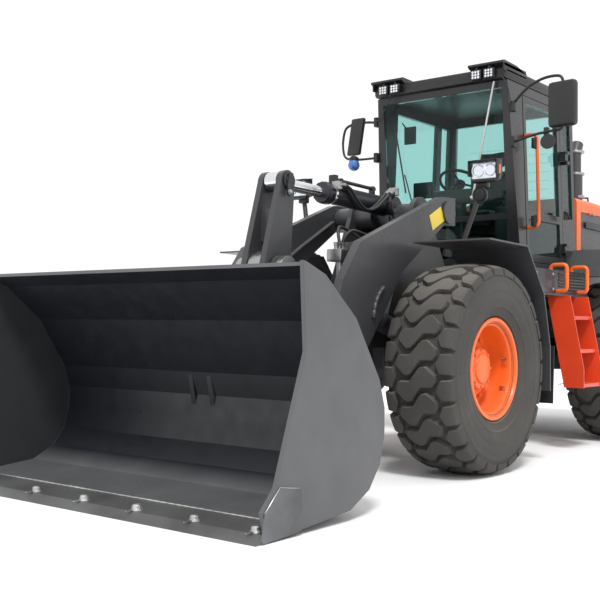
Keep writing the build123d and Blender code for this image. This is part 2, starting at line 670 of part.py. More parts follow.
with BuildPart() as cab_roof:
    with BuildSketch(Plane.XY.offset(CAB_TOP_Z)) as slab:
        with Locations((sum(ROOF_X) / 2, 0)):
            RectangleRounded(ROOF_X[1] - ROOF_X[0], 2 * ROOF_HALF, 90)
    extrude(slab.sketch, amount=ROOF_TOP_Z - CAB_TOP_Z)
    fillet(cab_roof.edges().group_by(Axis.Z)[-1], 50)
save(cab_roof, "cab_roof")

# Cab fittings: operator's seat, steering column with its wheel
with BuildPart() as seat:
    block((-1250, -780), (-240, 240), (1990, 2110))
    block((-1330, -1210), (-230, 230), (2080, 2720))
    block((-1180, -860), (-160, 160), (FLOOR_TOP_Z, 1990))
save(seat, "seat")

with BuildPart() as console:
    block((-620, -540), (-90, 90), (FLOOR_TOP_Z, 2250))
    block((-1200, -760), (-420, -280), (FLOOR_TOP_Z, 2180))
    block((-1200, -760), (280, 420), (FLOOR_TOP_Z, 2120))
    bar((-580, 0, 2200), (-660, 0, 2330), 35)
    with BuildSketch(Plane(origin=(-660, 0, 2330), z_dir=(-80, 0, 130))) as disc:
        Circle(195)
    extrude(disc.sketch, amount=24)
save(console, "console")

# Front fenders: bent sheet over the front wheels, each with a hanging flap
FENDER_Y = (640, 1245)
FENDER_TOP = [(1220, 1652), (620, 1640), (330, 1300), (215, 900), (210, 560)]
FENDER_WEB = [(120, 1070), (270, 1070), (345, 1292), (640, 1628), (580, 1628), (290, 1290), (200, 1190), (120, 1190)]
FENDER_UNDER = [(222, 560), (227, 898), (341, 1292), (626, 1628), (1220, 1640)]
with BuildPart() as front_fenders:
    for side in MIRRORED:
        low, high = side * FENDER_Y[0], side * FENDER_Y[1]
        side_plate(FENDER_TOP + FENDER_UNDER, low, high)
        low, high = side * (FENDER_Y[0] - 12), side * FENDER_Y[0]
        side_plate(FENDER_WEB, low, high)
        block((120, 200), (side * 640, side * 628), (1090, 1190), Mode.SUBTRACT)
save(front_fenders, "front_fenders")

# Headlamps: housings on stalks above the front fenders
with BuildPart() as headlamps:
    for side in MIRRORED:
        block((620, 690), (side * 685, side * 755), (1642, 1654))
        bar((655, side * 720, 1648), (560, side * 780, 2160), 20)
        block((460, 620), (side * 690, side * 950), (2150, 2290))
save(headlamps, "headlamps")

# Boom: two plates joined by a cross tube that carries the crank's lugs
BOOM_OUTLINE = [
    (430, 2055),
    (640, 2045),
    (1752, 1622),
    (1963, 1355),
    (2020, 1200),
    (2637, 395),
    (2473, 265),
    (1651, 894),
    (1194, 1453),
    (606, 1828),
    (430, 1835),
]
with BuildPart() as boom:
    for side in MIRRORED:
        low, high = side * BOOM_INNER_Y, side * (BOOM_INNER_Y + BOOM_PLATE)
        side_plate(BOOM_OUTLINE, low, high)
        link_plate([(BUCKET_PIN, 105)], low, high)
        cross_bar(BOOM_PIVOT, low, high, BOOM_PIVOT_RADIUS + RUNNING_GAP, Mode.SUBTRACT)
        cross_bar(BUCKET_PIN, low, high, BUCKET_PIN_RADIUS + RUNNING_GAP, Mode.SUBTRACT)
        low, high = side * 115, side * 150
        link_plate([(CROSS_TUBE, CROSS_TUBE_RADIUS + 20), (CRANK_PIVOT, 95)], low, high)
        cross_bar(CRANK_PIVOT, low, high, CRANK_PIN_RADIUS + RUNNING_GAP, Mode.SUBTRACT)
    cross_bar(CROSS_TUBE, -BOOM_INNER_Y, BOOM_INNER_Y, CROSS_TUBE_RADIUS)
save(boom, "boom")

# Bucket: a rolled shell with flat ends, its hinge ears and the ears of the tilt link
BUCKET_BACK = [
    (EDGE_BACK_X, 24),
    (EDGE_BACK_X - 40, 24),
    (3040, 62),
    (2860, 150),
    (2755, 280),
    (2712, 430),
    (2712, 590),
    (2765, 745),
    (2995, 1080),
    (3278, 1304),
    (3440, 1362),
]
with BuildPart() as bucket_shell:
    with BuildSketch(Plane.XZ.offset(-BUCKET_HALF + BUCKET_SIDE)) as wall:
        with BuildLine():
            Polyline(*BUCKET_BACK)
            offset(amount=BUCKET_SHELL, side=Side.RIGHT, kind=Kind.INTERSECTION)
        make_face()
    extrude(wall.sketch, amount=2 * (BUCKET_HALF - BUCKET_SIDE))
    for side in MIRRORED:
        low, high = side * (BUCKET_HALF - BUCKET_SIDE), side * BUCKET_HALF
        cheek = BUCKET_BACK + [(3467, 1368), (3437, 910), (3669, 254), (3771, 148)]
        cheek += [(3740, EDGE_THICKNESS), (EDGE_BACK_X, 16 + EDGE_THICKNESS)]
        side_plate(cheek, low, high)
        for inner in (BOOM_INNER_Y - JOINT_GAP - 32, BOOM_INNER_Y + BOOM_PLATE + JOINT_GAP):
            low, high = side * inner, side * (inner + 32)
            link_plate([(BUCKET_PIN, 95), ((2735, 330), 10), ((2718, 450), 10), ((2712, 580), 10)], low, high)
            cross_bar(BUCKET_PIN, low, high, BUCKET_PIN_RADIUS + RUNNING_GAP, Mode.SUBTRACT)
        low, high = side * 62, side * 100
        link_plate([(BUCKET_EAR, 80), ((2714, 480), 10), ((2714, 585), 10), ((2778, 760), 10)], low, high)
save(bucket_shell, "bucket_shell")

with BuildPart() as cutting_edge:
    edge = [(EDGE_TIP_X, 0), (EDGE_BACK_X, 16), (EDGE_BACK_X, 16 + EDGE_THICKNESS), (3740, EDGE_THICKNESS)]
    side_plate(edge, -BUCKET_HALF, BUCKET_HALF)
    for side in MIRRORED:
        low, high = side * BUCKET_HALF, side * (BUCKET_HALF + GUARD)
        side_plate([(EDGE_TIP_X - 40, 4), (3480, 20), (3480, 230), (3640, 255), (3760, 140)], low, high)
save(cutting_edge, "cutting_edge")

with BuildPart() as bucket_pins:
    for side in MIRRORED:
        near = BOOM_INNER_Y - JOINT_GAP - 32
        far = BOOM_INNER_Y + BOOM_PLATE + JOINT_GAP + 32
        inner, outer = near - SIDE_GAP, far + SIDE_GAP
        cross_bar(BUCKET_PIN, side * inner, side * outer, BUCKET_PIN_RADIUS)
        cross_bar(BUCKET_PIN, side * outer, side * (outer + PIN_CAP), BUCKET_CAP_RADIUS)
        cross_bar(BUCKET_PIN, side * (inner - PIN_CAP), side * inner, BUCKET_CAP_RADIUS)
save(bucket_pins, "bucket_pins")

# Crank: two tall plates joined by two webs, which turn the bucket through the link
with BuildPart() as bell_crank:
    for side in MIRRORED:
        low, high = side * CRANK_INNER_Y, side * (CRANK_INNER_Y + CRANK_PLATE)
        link_plate([(CRANK_TOP, 75), (CRANK_PIVOT, CRANK_HUB_RADIUS)], low, high)
        link_plate([(CRANK_PIVOT, CRANK_HUB_RADIUS), (CRANK_FOOT, 85)], low, high)
    crank_out = CRANK_INNER_Y + CRANK_PLATE
    block((1990, 2100), (-CRANK_INNER_Y, CRANK_INNER_Y), (1620, 1850))
    block((1985, 2095), (-CRANK_INNER_Y, CRANK_INNER_Y), (800, 1150))
    cross_bar(CRANK_PIVOT, -crank_out, crank_out, CRANK_PIN_RADIUS + RUNNING_GAP, Mode.SUBTRACT)
    cross_bar(CRANK_FOOT, -crank_out, crank_out, SMALL_PIN_RADIUS + RUNNING_GAP, Mode.SUBTRACT)
    for side in MIRRORED:
        low, high = side * crank_out, side * (crank_out + 12)
        cross_bar(CRANK_TOP, low, high, 55)
save(bell_crank, "bell_crank")

with BuildPart() as crank_pin:
    drum_half = CRANK_INNER_Y - SIDE_GAP
    cross_bar(CRANK_PIVOT, -155, 155, CRANK_PIN_RADIUS)
    cross_bar(CRANK_PIVOT, -drum_half, drum_half, CRANK_DRUM_RADIUS)
    for side in MIRRORED:
        cross_bar(CRANK_PIVOT, side * 155, side * (155 + PIN_CAP), CRANK_CAP_RADIUS)
save(crank_pin, "crank_pin")

with BuildPart() as link_pin:
    cap_in = crank_out + SIDE_GAP
    cross_bar(CRANK_FOOT, -cap_in, cap_in, SMALL_PIN_RADIUS)
    for side in MIRRORED:
        cross_bar(CRANK_FOOT, side * cap_in, side * (cap_in + PIN_CAP), LINK_CAP_RADIUS)
save(link_pin, "link_pin")

with BuildPart() as tilt_link:
    link_plate([(CRANK_FOOT, 70), (BUCKET_EAR, 70)], -45, 45)
    cross_bar(CRANK_FOOT, -55, 55, 75)
    cross_bar(BUCKET_EAR, -55, 55, 78)
    cross_bar(CRANK_FOOT, -55, 55, SMALL_PIN_RADIUS + RUNNING_GAP, Mode.SUBTRACT)
save(tilt_link, "tilt_link")


# Cylinders: each barrel turns on its base pin and its rod carries an eye
def barrel(base, way, y, radius, length, bore, rod_radius, eye_radius, eye_half, pin_radius):
    """A barrel with its base eye at a pin, pointing along way, as parts of the piece being built."""
    origin = Vector(base[0], y, base[1])
    bar(origin, origin + way * (radius + 30), 0.75 * radius)
    bar(origin + way * (radius + 20), origin + way * length, radius)
    bar(origin + way * (radius + 45), origin + way * (length - 30), bore, Mode.SUBTRACT)
    bar(origin + way * (radius + 45), origin + way * (length + 1), rod_radius + RUNNING_GAP, Mode.SUBTRACT)
    cross_bar(base, y - eye_half, y + eye_half, eye_radius)
    cross_bar(base, y - eye_half, y + eye_half, pin_radius + RUNNING_GAP, Mode.SUBTRACT)


def rod(base, way, y, tail, reach, radius, eye_radius, eye_half, stub_half, stub_radius):
    """A rod from its tail inside the barrel out to an eye, with a pin's ends on the eye."""
    origin = Vector(base[0], y, base[1])
    bar(origin + way * tail, origin + way * reach, radius)
    eye = origin + way * reach
    cross_bar((eye.X, eye.Z), y - eye_half, y + eye_half, eye_radius)
    cross_bar((eye.X, eye.Z), y - stub_half, y + stub_half, stub_radius)


LIFT_REACH, LIFT_WAY = span(LIFT_BASE, LIFT_EYE)
for name, side in (("left", 1), ("right", -1)):
    with BuildPart() as lift_barrel:
        barrel(
            LIFT_BASE,
            LIFT_WAY,
            side * LIFT_Y,
            LIFT_BARREL_RADIUS,
            LIFT_BARREL_LENGTH,
            LIFT_BARREL_RADIUS - BARREL_WALL,
            LIFT_ROD_RADIUS,
            80,
            LIFT_BARREL_RADIUS,
            BUCKET_PIN_RADIUS,
        )
    save(lift_barrel, f"lift_barrel_{name}")
    with BuildPart() as lift_rod:
        rod(LIFT_BASE, LIFT_WAY, side * LIFT_Y, 150, LIFT_REACH, LIFT_ROD_RADIUS, 72, 62, 79, 42)
    save(lift_rod, f"lift_rod_{name}")

TILT_REACH, TILT_WAY = span(TILT_BASE, CRANK_TOP)
with BuildPart() as tilt_barrel:
    barrel(
        TILT_BASE,
        TILT_WAY,
        0,
        TILT_BARREL_RADIUS,
        TILT_BARREL_LENGTH,
        TILT_BARREL_RADIUS - BARREL_WALL,
        TILT_ROD_RADIUS,
        68,
        60,
        SMALL_PIN_RADIUS,
    )
save(tilt_barrel, "tilt_barrel")

with BuildPart() as tilt_piston:
    tilt_origin = Vector(TILT_BASE[0], 0, TILT_BASE[1])
    bore = TILT_BARREL_RADIUS - BARREL_WALL
    bar(tilt_origin + TILT_WAY * 700, tilt_origin + TILT_WAY * 760, bore - RUNNING_GAP)
    bar(tilt_origin + TILT_WAY * 699, tilt_origin + TILT_WAY * 761, TILT_ROD_RADIUS + RUNNING_GAP, Mode.SUBTRACT)
save(tilt_piston, "tilt_piston")

with BuildPart() as tilt_rod:
    rod(TILT_BASE, TILT_WAY, 0, 565, TILT_REACH, TILT_ROD_RADIUS, 72, 52, 57, 36)
save(tilt_rod, "tilt_rod")

STEER_REACH = STEER_BACK + STEER_AHEAD
for name, side in (("left", 1), ("right", -1)):
    start = Vector(HINGE_X - STEER_BACK, side * STEER_Y, STEER_Z)
    ahead = Vector(1, 0, 0)
    low_end = start - Vector(0, 0, 28)
    with BuildPart() as steer_barrel:
        bar(start + ahead * 30, start + ahead * 80, 30)
        bar(start + ahead * 65, start + ahead * 660, 46)
        bar(start + ahead * 75, start + ahead * 635, 38, Mode.SUBTRACT)
        bar(start + ahead * 75, start + ahead * 661, 22 + RUNNING_GAP, Mode.SUBTRACT)
        bar(low_end, low_end + Vector(0, 0, 56), 45)
        bar(low_end, low_end + Vector(0, 0, 56), 25 + RUNNING_GAP, Mode.SUBTRACT)
    save(steer_barrel, f"steer_barrel_{name}")
    eye = start + ahead * STEER_REACH - Vector(0, 0, 28)
    with BuildPart() as steer_rod:
        bar(start + ahead * 345, start + ahead * STEER_REACH, 22)
        bar(eye, eye + Vector(0, 0, 56), 45)
        bar(eye - Vector(0, 0, 3), eye + Vector(0, 0, 59), 25)
    save(steer_rod, f"steer_rod_{name}")

# Platforms: boxes on both sides of the cab, with the rear fenders behind them
PLATFORM_OUT = 950
with BuildPart() as platforms:
    for side in MIRRORED:
        low, high = side * (CAB_FOOT[2] + SEAT_GAP), side * PLATFORM_OUT
        block((-1250, -410), (low, high), (1310, CAB_FLOOR_Z))
        low, high = side * 780, side * PLATFORM_OUT
        block((-410, -140), (low, high), (1310, CAB_FLOOR_Z))
        low, high = side * RAIL_Y, side * 760
        block((-1220, -1160), (low, high), (1240, 1310))
save(platforms, "platforms")

FENDER_REAR = [(-1262, 1500), (-1350, 1590), (-1500, 1760), (-2700, 1760), (-2850, 1560)]
FENDER_REAR_UNDER = [(-2838, 1553), (-2692, 1748), (-1505, 1748), (-1358, 1582), (-1272, 1493)]
with BuildPart() as rear_fenders:
    for side in MIRRORED:
        low, high = side * 720, side * 1245
        side_plate(FENDER_REAR + FENDER_REAR_UNDER, low, high)
        low, high = side * (LOWER_HALF + SEAT_GAP), side * 720
        block((-2690, -1700), (low, high), (1748, 1760))
save(rear_fenders, "rear_fenders")

# Steps: a ladder on each side, its lowest step on a flexible strip
STEP_X = (-1000, -600)
with BuildPart() as steps:
    for side in MIRRORED:
        for x0 in (STEP_X[0], STEP_X[1] - 12):
            with BuildSketch(Plane.YZ.offset(x0)) as stringer:
                with BuildLine():
                    Polyline(
                        (side * 860, 1310),
                        (side * 1060, 1310),
                        (side * 1180, 700),
                        (side * 1180, 540),
                        (side * 1010, 540),
                        (side * 940, 900),
                        close=True,
                    )
                make_face()
            extrude(stringer.sketch, amount=12)
        for out, level in ((1170, 545), (1130, 830), (1080, 1110)):
            block(STEP_X, (side * (out - 150), side * out), (level, level + 30))
save(steps, "steps")

# Rails: hoops at the head of the steps, low enough for the door to swing over
GRAB_TOP_Z = DOOR_HEIGHT[0] - 30
with BuildPart() as grab_rails:
    for side in MIRRORED:
        for rail_x in (STEP_X[0] - 20, STEP_X[1] + 20):
            tube(
                [
                    (rail_x, side * (PLATFORM_OUT + SEAT_GAP), 1350),
                    (rail_x, side * 1040, 1350),
                    (rail_x, side * 1040, GRAB_TOP_Z),
                    (rail_x, side * 900, GRAB_TOP_Z),
                    (rail_x, side * 900, CAB_FLOOR_Z + SEAT_GAP),
                ],
                17,
                35,
            )
save(grab_rails, "grab_rails")

with BuildPart() as door_rail:
    rail_x = DOOR_SPAN[1] - 40
    tube([(rail_x, 690, 1900), (rail_x, 790, 1900), (rail_x, 770, 2700), (rail_x, 655, 2700)], 15, 50)
    with BuildPart(mode=Mode.PRIVATE) as door_volume:
        loft(sections=cab_body(-SEAT_GAP, FLOOR_TOP_Z, CAB_TOP_Z))
    add(door_volume.part, mode=Mode.SUBTRACT)
save(door_rail, "door_rail")

# Mirrors and lamps
with BuildPart() as mirrors:
    for side in MIRRORED:
        tube([(-330, side * 600, 3080), (-250, side * 1000, 3060), (-250, side * 1060, 2960)], 14, 50)
        block((-275, -225), (side * 970, side * 1150), (2700, 2980))
    with BuildPart(mode=Mode.PRIVATE) as cab_volume:
        loft(sections=cab_body(-SEAT_GAP, FLOOR_TOP_Z, CAB_TOP_Z))
    add(cab_volume.part, mode=Mode.SUBTRACT)
save(mirrors, "mirrors")

with BuildPart() as work_lights:
    for side in MIRRORED:
        for y in (360, 490):
            block((ROOF_X[1] + SEAT_GAP, ROOF_X[1] + 55), (side * (y - 55), side * (y + 55)), (3135, 3225))
        block((ROOF_X[0] - 60, ROOF_X[0] - SEAT_GAP), (side * 420, side * 540), (3140, 3225))
save(work_lights, "work_lights")
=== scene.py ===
"""Looks of an articulated wheel loader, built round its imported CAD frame. Metres, +X forward, +Z up."""
import math

import bmesh
import bpy
from mathutils import Matrix, Vector


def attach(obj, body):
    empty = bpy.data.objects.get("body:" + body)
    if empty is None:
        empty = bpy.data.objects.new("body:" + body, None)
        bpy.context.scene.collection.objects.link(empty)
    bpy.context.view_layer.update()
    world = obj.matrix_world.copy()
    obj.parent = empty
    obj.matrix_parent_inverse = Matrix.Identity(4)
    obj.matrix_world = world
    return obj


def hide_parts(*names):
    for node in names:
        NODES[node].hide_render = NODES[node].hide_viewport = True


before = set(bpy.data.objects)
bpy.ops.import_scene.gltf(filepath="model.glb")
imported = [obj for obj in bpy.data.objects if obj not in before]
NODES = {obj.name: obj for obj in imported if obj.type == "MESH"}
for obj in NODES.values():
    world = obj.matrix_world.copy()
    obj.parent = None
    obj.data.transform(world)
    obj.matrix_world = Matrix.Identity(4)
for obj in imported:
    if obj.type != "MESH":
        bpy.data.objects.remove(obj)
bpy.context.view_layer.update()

# Painted steel: satin coats of paint over plate and castings. Each has a soft orange peel, slow
# changes of tone and a little dust that lies on faces looking up.


def shader(name):
    """A new node material with its Principled node, its node maker and its linker."""
    made = bpy.data.materials.new(name)
    made.use_nodes = True
    tree = made.node_tree
    surface = tree.nodes["Principled BSDF"]

    def node(kind, **settings):
        new = tree.nodes.new(kind)
        for key, value in settings.items():
            if key in new.inputs:
                new.inputs[key].default_value = value
            else:
                setattr(new, key, value)
        return new

    return made, surface, node, tree.links.new


def tone_map(node, link, scale, low, high, detail=6.0):
    """Noise in object space whose value runs from low to high, for colour and roughness changes."""
    place = node("ShaderNodeTexCoord")
    noise = node("ShaderNodeTexNoise", Scale=scale, Detail=detail)
    link(place.outputs["Object"], noise.inputs["Vector"])
    ramp = node("ShaderNodeMapRange")
    ramp.inputs["From Min"].default_value = 0.3
    ramp.inputs["From Max"].default_value = 0.7
    ramp.inputs["To Min"].default_value = low
    ramp.inputs["To Max"].default_value = high
    link(noise.outputs["Fac"], ramp.inputs["Value"])
    return ramp.outputs["Result"]


def round_edges(surface, node, link, radius, peel, peel_scale):
    """Bump from a fine noise, on a normal that the bevel node rounds at sharp edges."""
    bump = node("ShaderNodeBump", Strength=peel, Distance=0.002)
    noise = node("ShaderNodeTexNoise", Scale=peel_scale, Detail=2.0)
    link(node("ShaderNodeTexCoord").outputs["Object"], noise.inputs["Vector"])
    link(noise.outputs["Fac"], bump.inputs["Height"])
    if radius:
        bevel = node("ShaderNodeBevel", samples=4)
        bevel.inputs["Radius"].default_value = radius
        link(bevel.outputs["Normal"], bump.inputs["Normal"])
    link(bump.outputs["Normal"], surface.inputs["Normal"])


def paint(name, colour, rough=0.38, metal=0.0, tone=0.10, dust=0.12, peel=0.06, radius=0.004, coat=0.2):
    """A coat whose tone, roughness, dust, peel, edge radius and clear coat are set by its arguments."""
    made, surface, node, link = shader(name)
    factor = tone_map(node, link, 3.0, 1 - tone, 1 + tone)
    shade = node("ShaderNodeVectorMath", operation="SCALE")
    shade.inputs[0].default_value = colour
    link(factor, shade.inputs["Scale"])
    normal = node("ShaderNodeNewGeometry")
    split = node("ShaderNodeSeparateXYZ")
    link(normal.outputs["Normal"], split.inputs[0])
    up = node("ShaderNodeMapRange")
    up.inputs["From Min"].default_value = 0.5
    up.inputs["To Max"].default_value = dust
    link(split.outputs["Z"], up.inputs["Value"])
    mix = node("ShaderNodeMix", data_type="RGBA")
    mix.inputs["B"].default_value = (0.32, 0.29, 0.25, 1)
    link(up.outputs["Result"], mix.inputs["Factor"])
    link(shade.outputs["Vector"], mix.inputs["A"])
    link(mix.outputs["Result"], surface.inputs["Base Color"])
    link(tone_map(node, link, 40.0, rough - 0.05, rough + 0.09), surface.inputs["Roughness"])
    surface.inputs["Metallic"].default_value = metal
    surface.inputs["Coat Weight"].default_value = coat
    surface.inputs["Coat Roughness"].default_value = 0.2
    round_edges(surface, node, link, radius, peel, 350.0)
    return made


def dress(material, *names):
    """Puts a material on every slot of the CAD nodes whose names start so."""
    for key, node in NODES.items():
        if any(key.startswith(name) for name in names):
            node.data.materials.clear()
            node.data.materials.append(material)


orange = paint("orange paint", (0.80, 0.13, 0.014))
step_red = paint("step paint", (0.66, 0.052, 0.012))
grey = paint("grey paint", (0.040, 0.041, 0.045), rough=0.42)
dark = paint("dark paint", (0.012, 0.014, 0.020), rough=0.38)
black = paint("black paint", (0.007, 0.0075, 0.010), rough=0.32)
cast = paint("cast paint", (0.030, 0.031, 0.034), rough=0.6, peel=0.35)
dress(orange, "hood_shell", "rim_", "grab_rails", "door_rail")
dress(step_red, "steps")
dress(
    grey, "front_frame", "boom", "front_fenders", "bell_crank", "tilt_link", "lower_housing", "exhaust",
)
dress(grey, "engine_door", "rear_fenders")
dress(dark, "rear_frame", "platforms", "tilt_barrel", "lift_barrel", "steer_barrel", "rear_grille")
dress(
    black, "cab_frame", "cab_door", "cab_floor", "cab_roof", "mirrors", "work_lights", "headlamps",
    "console",
)
dress(cast, "front_axle", "rear_axle", "counterweight", "engine_block")

# Bare metal: machined pins, wear plates and hard chromed rods.
steel = paint("bare steel", (0.42, 0.42, 0.43), rough=0.34, metal=1.0, dust=0.05, coat=0.0)
chrome = paint(
    "hard chrome", (0.75, 0.76, 0.78), rough=0.12, metal=1.0, tone=0.02, dust=0.0, peel=0.0, coat=0.0,
)
worn_edge = paint("wear plate", (0.14, 0.145, 0.15), rough=0.42, metal=0.6, tone=0.3, coat=0.0)
dress(steel, "bucket_pins", "crank_pin", "link_pin", "tilt_piston")
dress(worn_edge, "cutting_edge")
dress(chrome, "tilt_rod", "lift_rod", "steer_rod")

# Rubber: matte, with a grey bloom and moulded grain.
rubber = paint(
    "tyre rubber", (0.05, 0.047, 0.043), rough=0.78, tone=0.18, dust=0.35, peel=0.25, coat=0.0,
)
dress(rubber, "tyre_")

# Tinted glass: green sheet, 6 mm thick.


def lens(name, colour, clearness, rough, index=1.5):
    """Coloured glass or plastic that lets a share of the light through."""
    made, surface, *_ = shader(name)
    surface.inputs["Base Color"].default_value = (*colour, 1)
    surface.inputs["Transmission Weight"].default_value = clearness
    surface.inputs["Roughness"].default_value = rough
    surface.inputs["IOR"].default_value = index
    return made


glass = lens("tinted glass", (0.55, 0.78, 0.76), 1.0, 0.02, 1.25)
dress(glass, "cab_glass", "door_glass")

# Mesh making: each piece is one bmesh of closed bodies, smoothed over its round faces and kept
# sharp at its folds, which then rides on the body that carries it.


def closed_lathe(mesh, centre, axis, profile, sides=48):
    """A closed body turned about an axis through centre, from (radius, distance along the axis) points."""
    axis = Vector(axis).normalized()
    side = axis.orthogonal().normalized()
    up = axis.cross(side)
    rings = []
    for index in range(sides):
        turn = 2 * math.pi * index / sides
        out = side * math.cos(turn) + up * math.sin(turn)
        rings.append([mesh.verts.new(Vector(centre) + out * r + axis * along) for r, along in profile])
    count = len(profile)
    for index, ring in enumerate(rings):
        following = rings[(index + 1) % sides]
        for place in range(count):
            near, far = place, (place + 1) % count
            if profile[near][0] < 1e-6 and profile[far][0] < 1e-6:
                continue
            mesh.faces.new((ring[near], following[near], following[far], ring[far]))


def round_bar(mesh, start, end, radius, sides=20, edge=0.002):
    """A round bar with softened rims."""
    start, end = Vector(start), Vector(end)
    length = (end - start).length
    rim = min(edge, radius / 3, length / 3)
    profile = [
        (0, 0), (radius - rim, 0), (radius, rim), (radius, length - rim), (radius - rim, length),
        (0, length),
    ]
    closed_lathe(mesh, start, end - start, profile, sides)


def plate(mesh, outline, normal, thickness, origin=(0, 0, 0)):
    """A flat plate: outline points as vectors in one plane, thickened along normal."""
    base = Vector(origin)
    way = Vector(normal).normalized() * thickness
    low = [mesh.verts.new(base + Vector(point)) for point in outline]
    high = [mesh.verts.new(base + Vector(point) + way) for point in outline]
    mesh.faces.new(low)
    mesh.faces.new(list(reversed(high)))
    count = len(outline)
    for index in range(count):
        after = (index + 1) % count
        mesh.faces.new((low[index], high[index], high[after], low[after]))


def block(mesh, low, high, edge=0.003):
    """A box between two corners, with all its edges bevelled."""
    before = set(mesh.verts)
    middle = (Vector(low) + Vector(high)) / 2
    size = [abs(b - a) for a, b in zip(low, high)]
    shape = Matrix.Translation(middle) @ Matrix.Diagonal((*size, 1))
    made = bmesh.ops.create_cube(mesh, size=1, matrix=shape)
    edges = {line for corner in made["verts"] for line in corner.link_edges}
    width = min(edge, min(size) / 3)
    bmesh.ops.bevel(mesh, geom=list(edges), offset=width, segments=2, profile=0.5, affect="EDGES")
    return [vert for vert in mesh.verts if vert not in before]


def hex_bolt(mesh, place, way, across=0.030, height=0.016):
    """A hexagon head on its washer."""
    place, way = Vector(place), Vector(way).normalized()
    washer = [(0, -0.002), (across * 0.72, -0.002), (across * 0.72, 0.003), (0, 0.003)]
    closed_lathe(mesh, place, way, washer, 20)
    radius = across / math.sqrt(3)
    head = [(0, 0.003), (radius, 0.003), (radius, height * 0.8), (radius * 0.8, height), (0, height)]
    closed_lathe(mesh, place, way, head, 6)


def piece(mesh, name, material, body, sharp=32, replaces=()):
    """Turns the bmesh into an object that rides on a body."""
    bmesh.ops.remove_doubles(mesh, verts=mesh.verts, dist=1e-6)
    bmesh.ops.recalc_face_normals(mesh, faces=mesh.faces)
    shape = bpy.data.meshes.new(name)
    mesh.to_mesh(shape)
    mesh.free()
    shape.shade_smooth()
    shape.set_sharp_from_angle(angle=math.radians(sharp))
    shape.materials.append(material)
    made = bpy.data.objects.new(name, shape)
    bpy.context.scene.collection.objects.link(made)
    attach(made, body)
    if replaces:
        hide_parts(*replaces)
    return made


# Tyres: 20.5-25 section rubber with a rock tread. Slanting lugs cross the middle, and five-sided
# shoulder lugs stand between their ends. The sidewalls carry raised rings.
FRONT_AXLE_X, REAR_AXLE_X, TRACK_HALF = 1.0, -2.02, 0.965
WHEELS = [
    ("front_left", FRONT_AXLE_X, 1),
    ("front_right", FRONT_AXLE_X, -1),
    ("rear_left", REAR_AXLE_X, 1),
    ("rear_right", REAR_AXLE_X, -1),
]
TREAD_PITCHES = 26
TYRE_RADIUS = 0.746
CROWN = 0.42
SHOULDER_AT = 0.200
SHOULDER_DROP = 5.0
GROOVE = 0.036
CENTRE_LUG = [(-1.0, 0.33), (-0.52, 0.68), (-0.22, 0.62), (0.27, 0.10), (0.86, 0.10), (1.0, -0.08)]
CENTRE_HALF = 0.146
SHOULDER_LUG = [(0.0, 0.03), (0.32, 0.37), (1.0, 0.40)]
SHOULDER_IN, SHOULDER_OUT = 0.150, 0.252
SHOULDER_SHIFT = 0.22


def tread_radius(offset):
    """The tyre's outer radius at a distance from its middle plane."""
    past = max(0.0, abs(offset) - SHOULDER_AT)
    return TYRE_RADIUS - CROWN * offset * offset - SHOULDER_DROP * past * past


def chain_at(chain, u):
    """Height of a lug's edge chain at u, straight between its points."""
    for (u0, s0), (u1, s1) in zip(chain, chain[1:]):
        if u0 <= u <= u1:
            return s0 + (s1 - s0) * (u - u0) / (u1 - u0)
    return chain[-1][1]


def tread_lug(mesh, place, columns, rows, offset_at, top_at, bottom_at, turn):
    """One lug: a curved top grid with a rounded rim and tapered walls down into the tread."""
    pitch = 2 * math.pi / TREAD_PITCHES

    def corner(offset, s, depth):
        angle = turn + s * pitch
        reach = tread_radius(offset) - depth
        x, z = reach * math.sin(angle), reach * math.cos(angle)
        return mesh.verts.new(place + Vector((x, offset, z)))

    def ring_point(u, t, spread, depth):
        s_high, s_low = top_at(u), bottom_at(u)
        offset, s = offset_at(u), s_low + (s_high - s_low) * t
        mid_u, mid_s = 0.5 * (columns[0] + columns[-1]), 0.5 * (s_high + s_low)
        offset += spread * (1 if u > mid_u else -1) * (1.0 if u in (columns[0], columns[-1]) else 0.0)
        s += spread / (pitch * TYRE_RADIUS) * (1 if s > mid_s else -1) * (1.0 if t in (0, 1) else 0.0)
        return corner(offset, s, depth)

    steps = [index / rows for index in range(rows + 1)]
    ends = (columns[0], columns[-1])
    grid = [[ring_point(u, t, -0.004 if u in ends or t in (0, 1) else 0, 0.0) for t in steps] for u in columns]
    for a in range(len(columns) - 1):
        for b in range(rows):
            mesh.faces.new((grid[a][b], grid[a + 1][b], grid[a + 1][b + 1], grid[a][b + 1]))
    rim = [(u, 0) for u in columns] + [(columns[-1], t) for t in steps[1:]]
    rim += [(u, 1) for u in reversed(columns[:-1])] + [(columns[0], t) for t in reversed(steps[1:-1])]
    top = [grid[columns.index(u)][steps.index(t)] for u, t in rim]
    for spread, depth in ((0.0, 0.004), (0.006, GROOVE + 0.006)):
        ring = [ring_point(u, t, spread, depth) for u, t in rim]
        for index in range(len(rim)):
            after = (index + 1) % len(rim)
            mesh.faces.new((top[index], top[after], ring[after], ring[index]))
        top = ring
    mesh.faces.new(top)


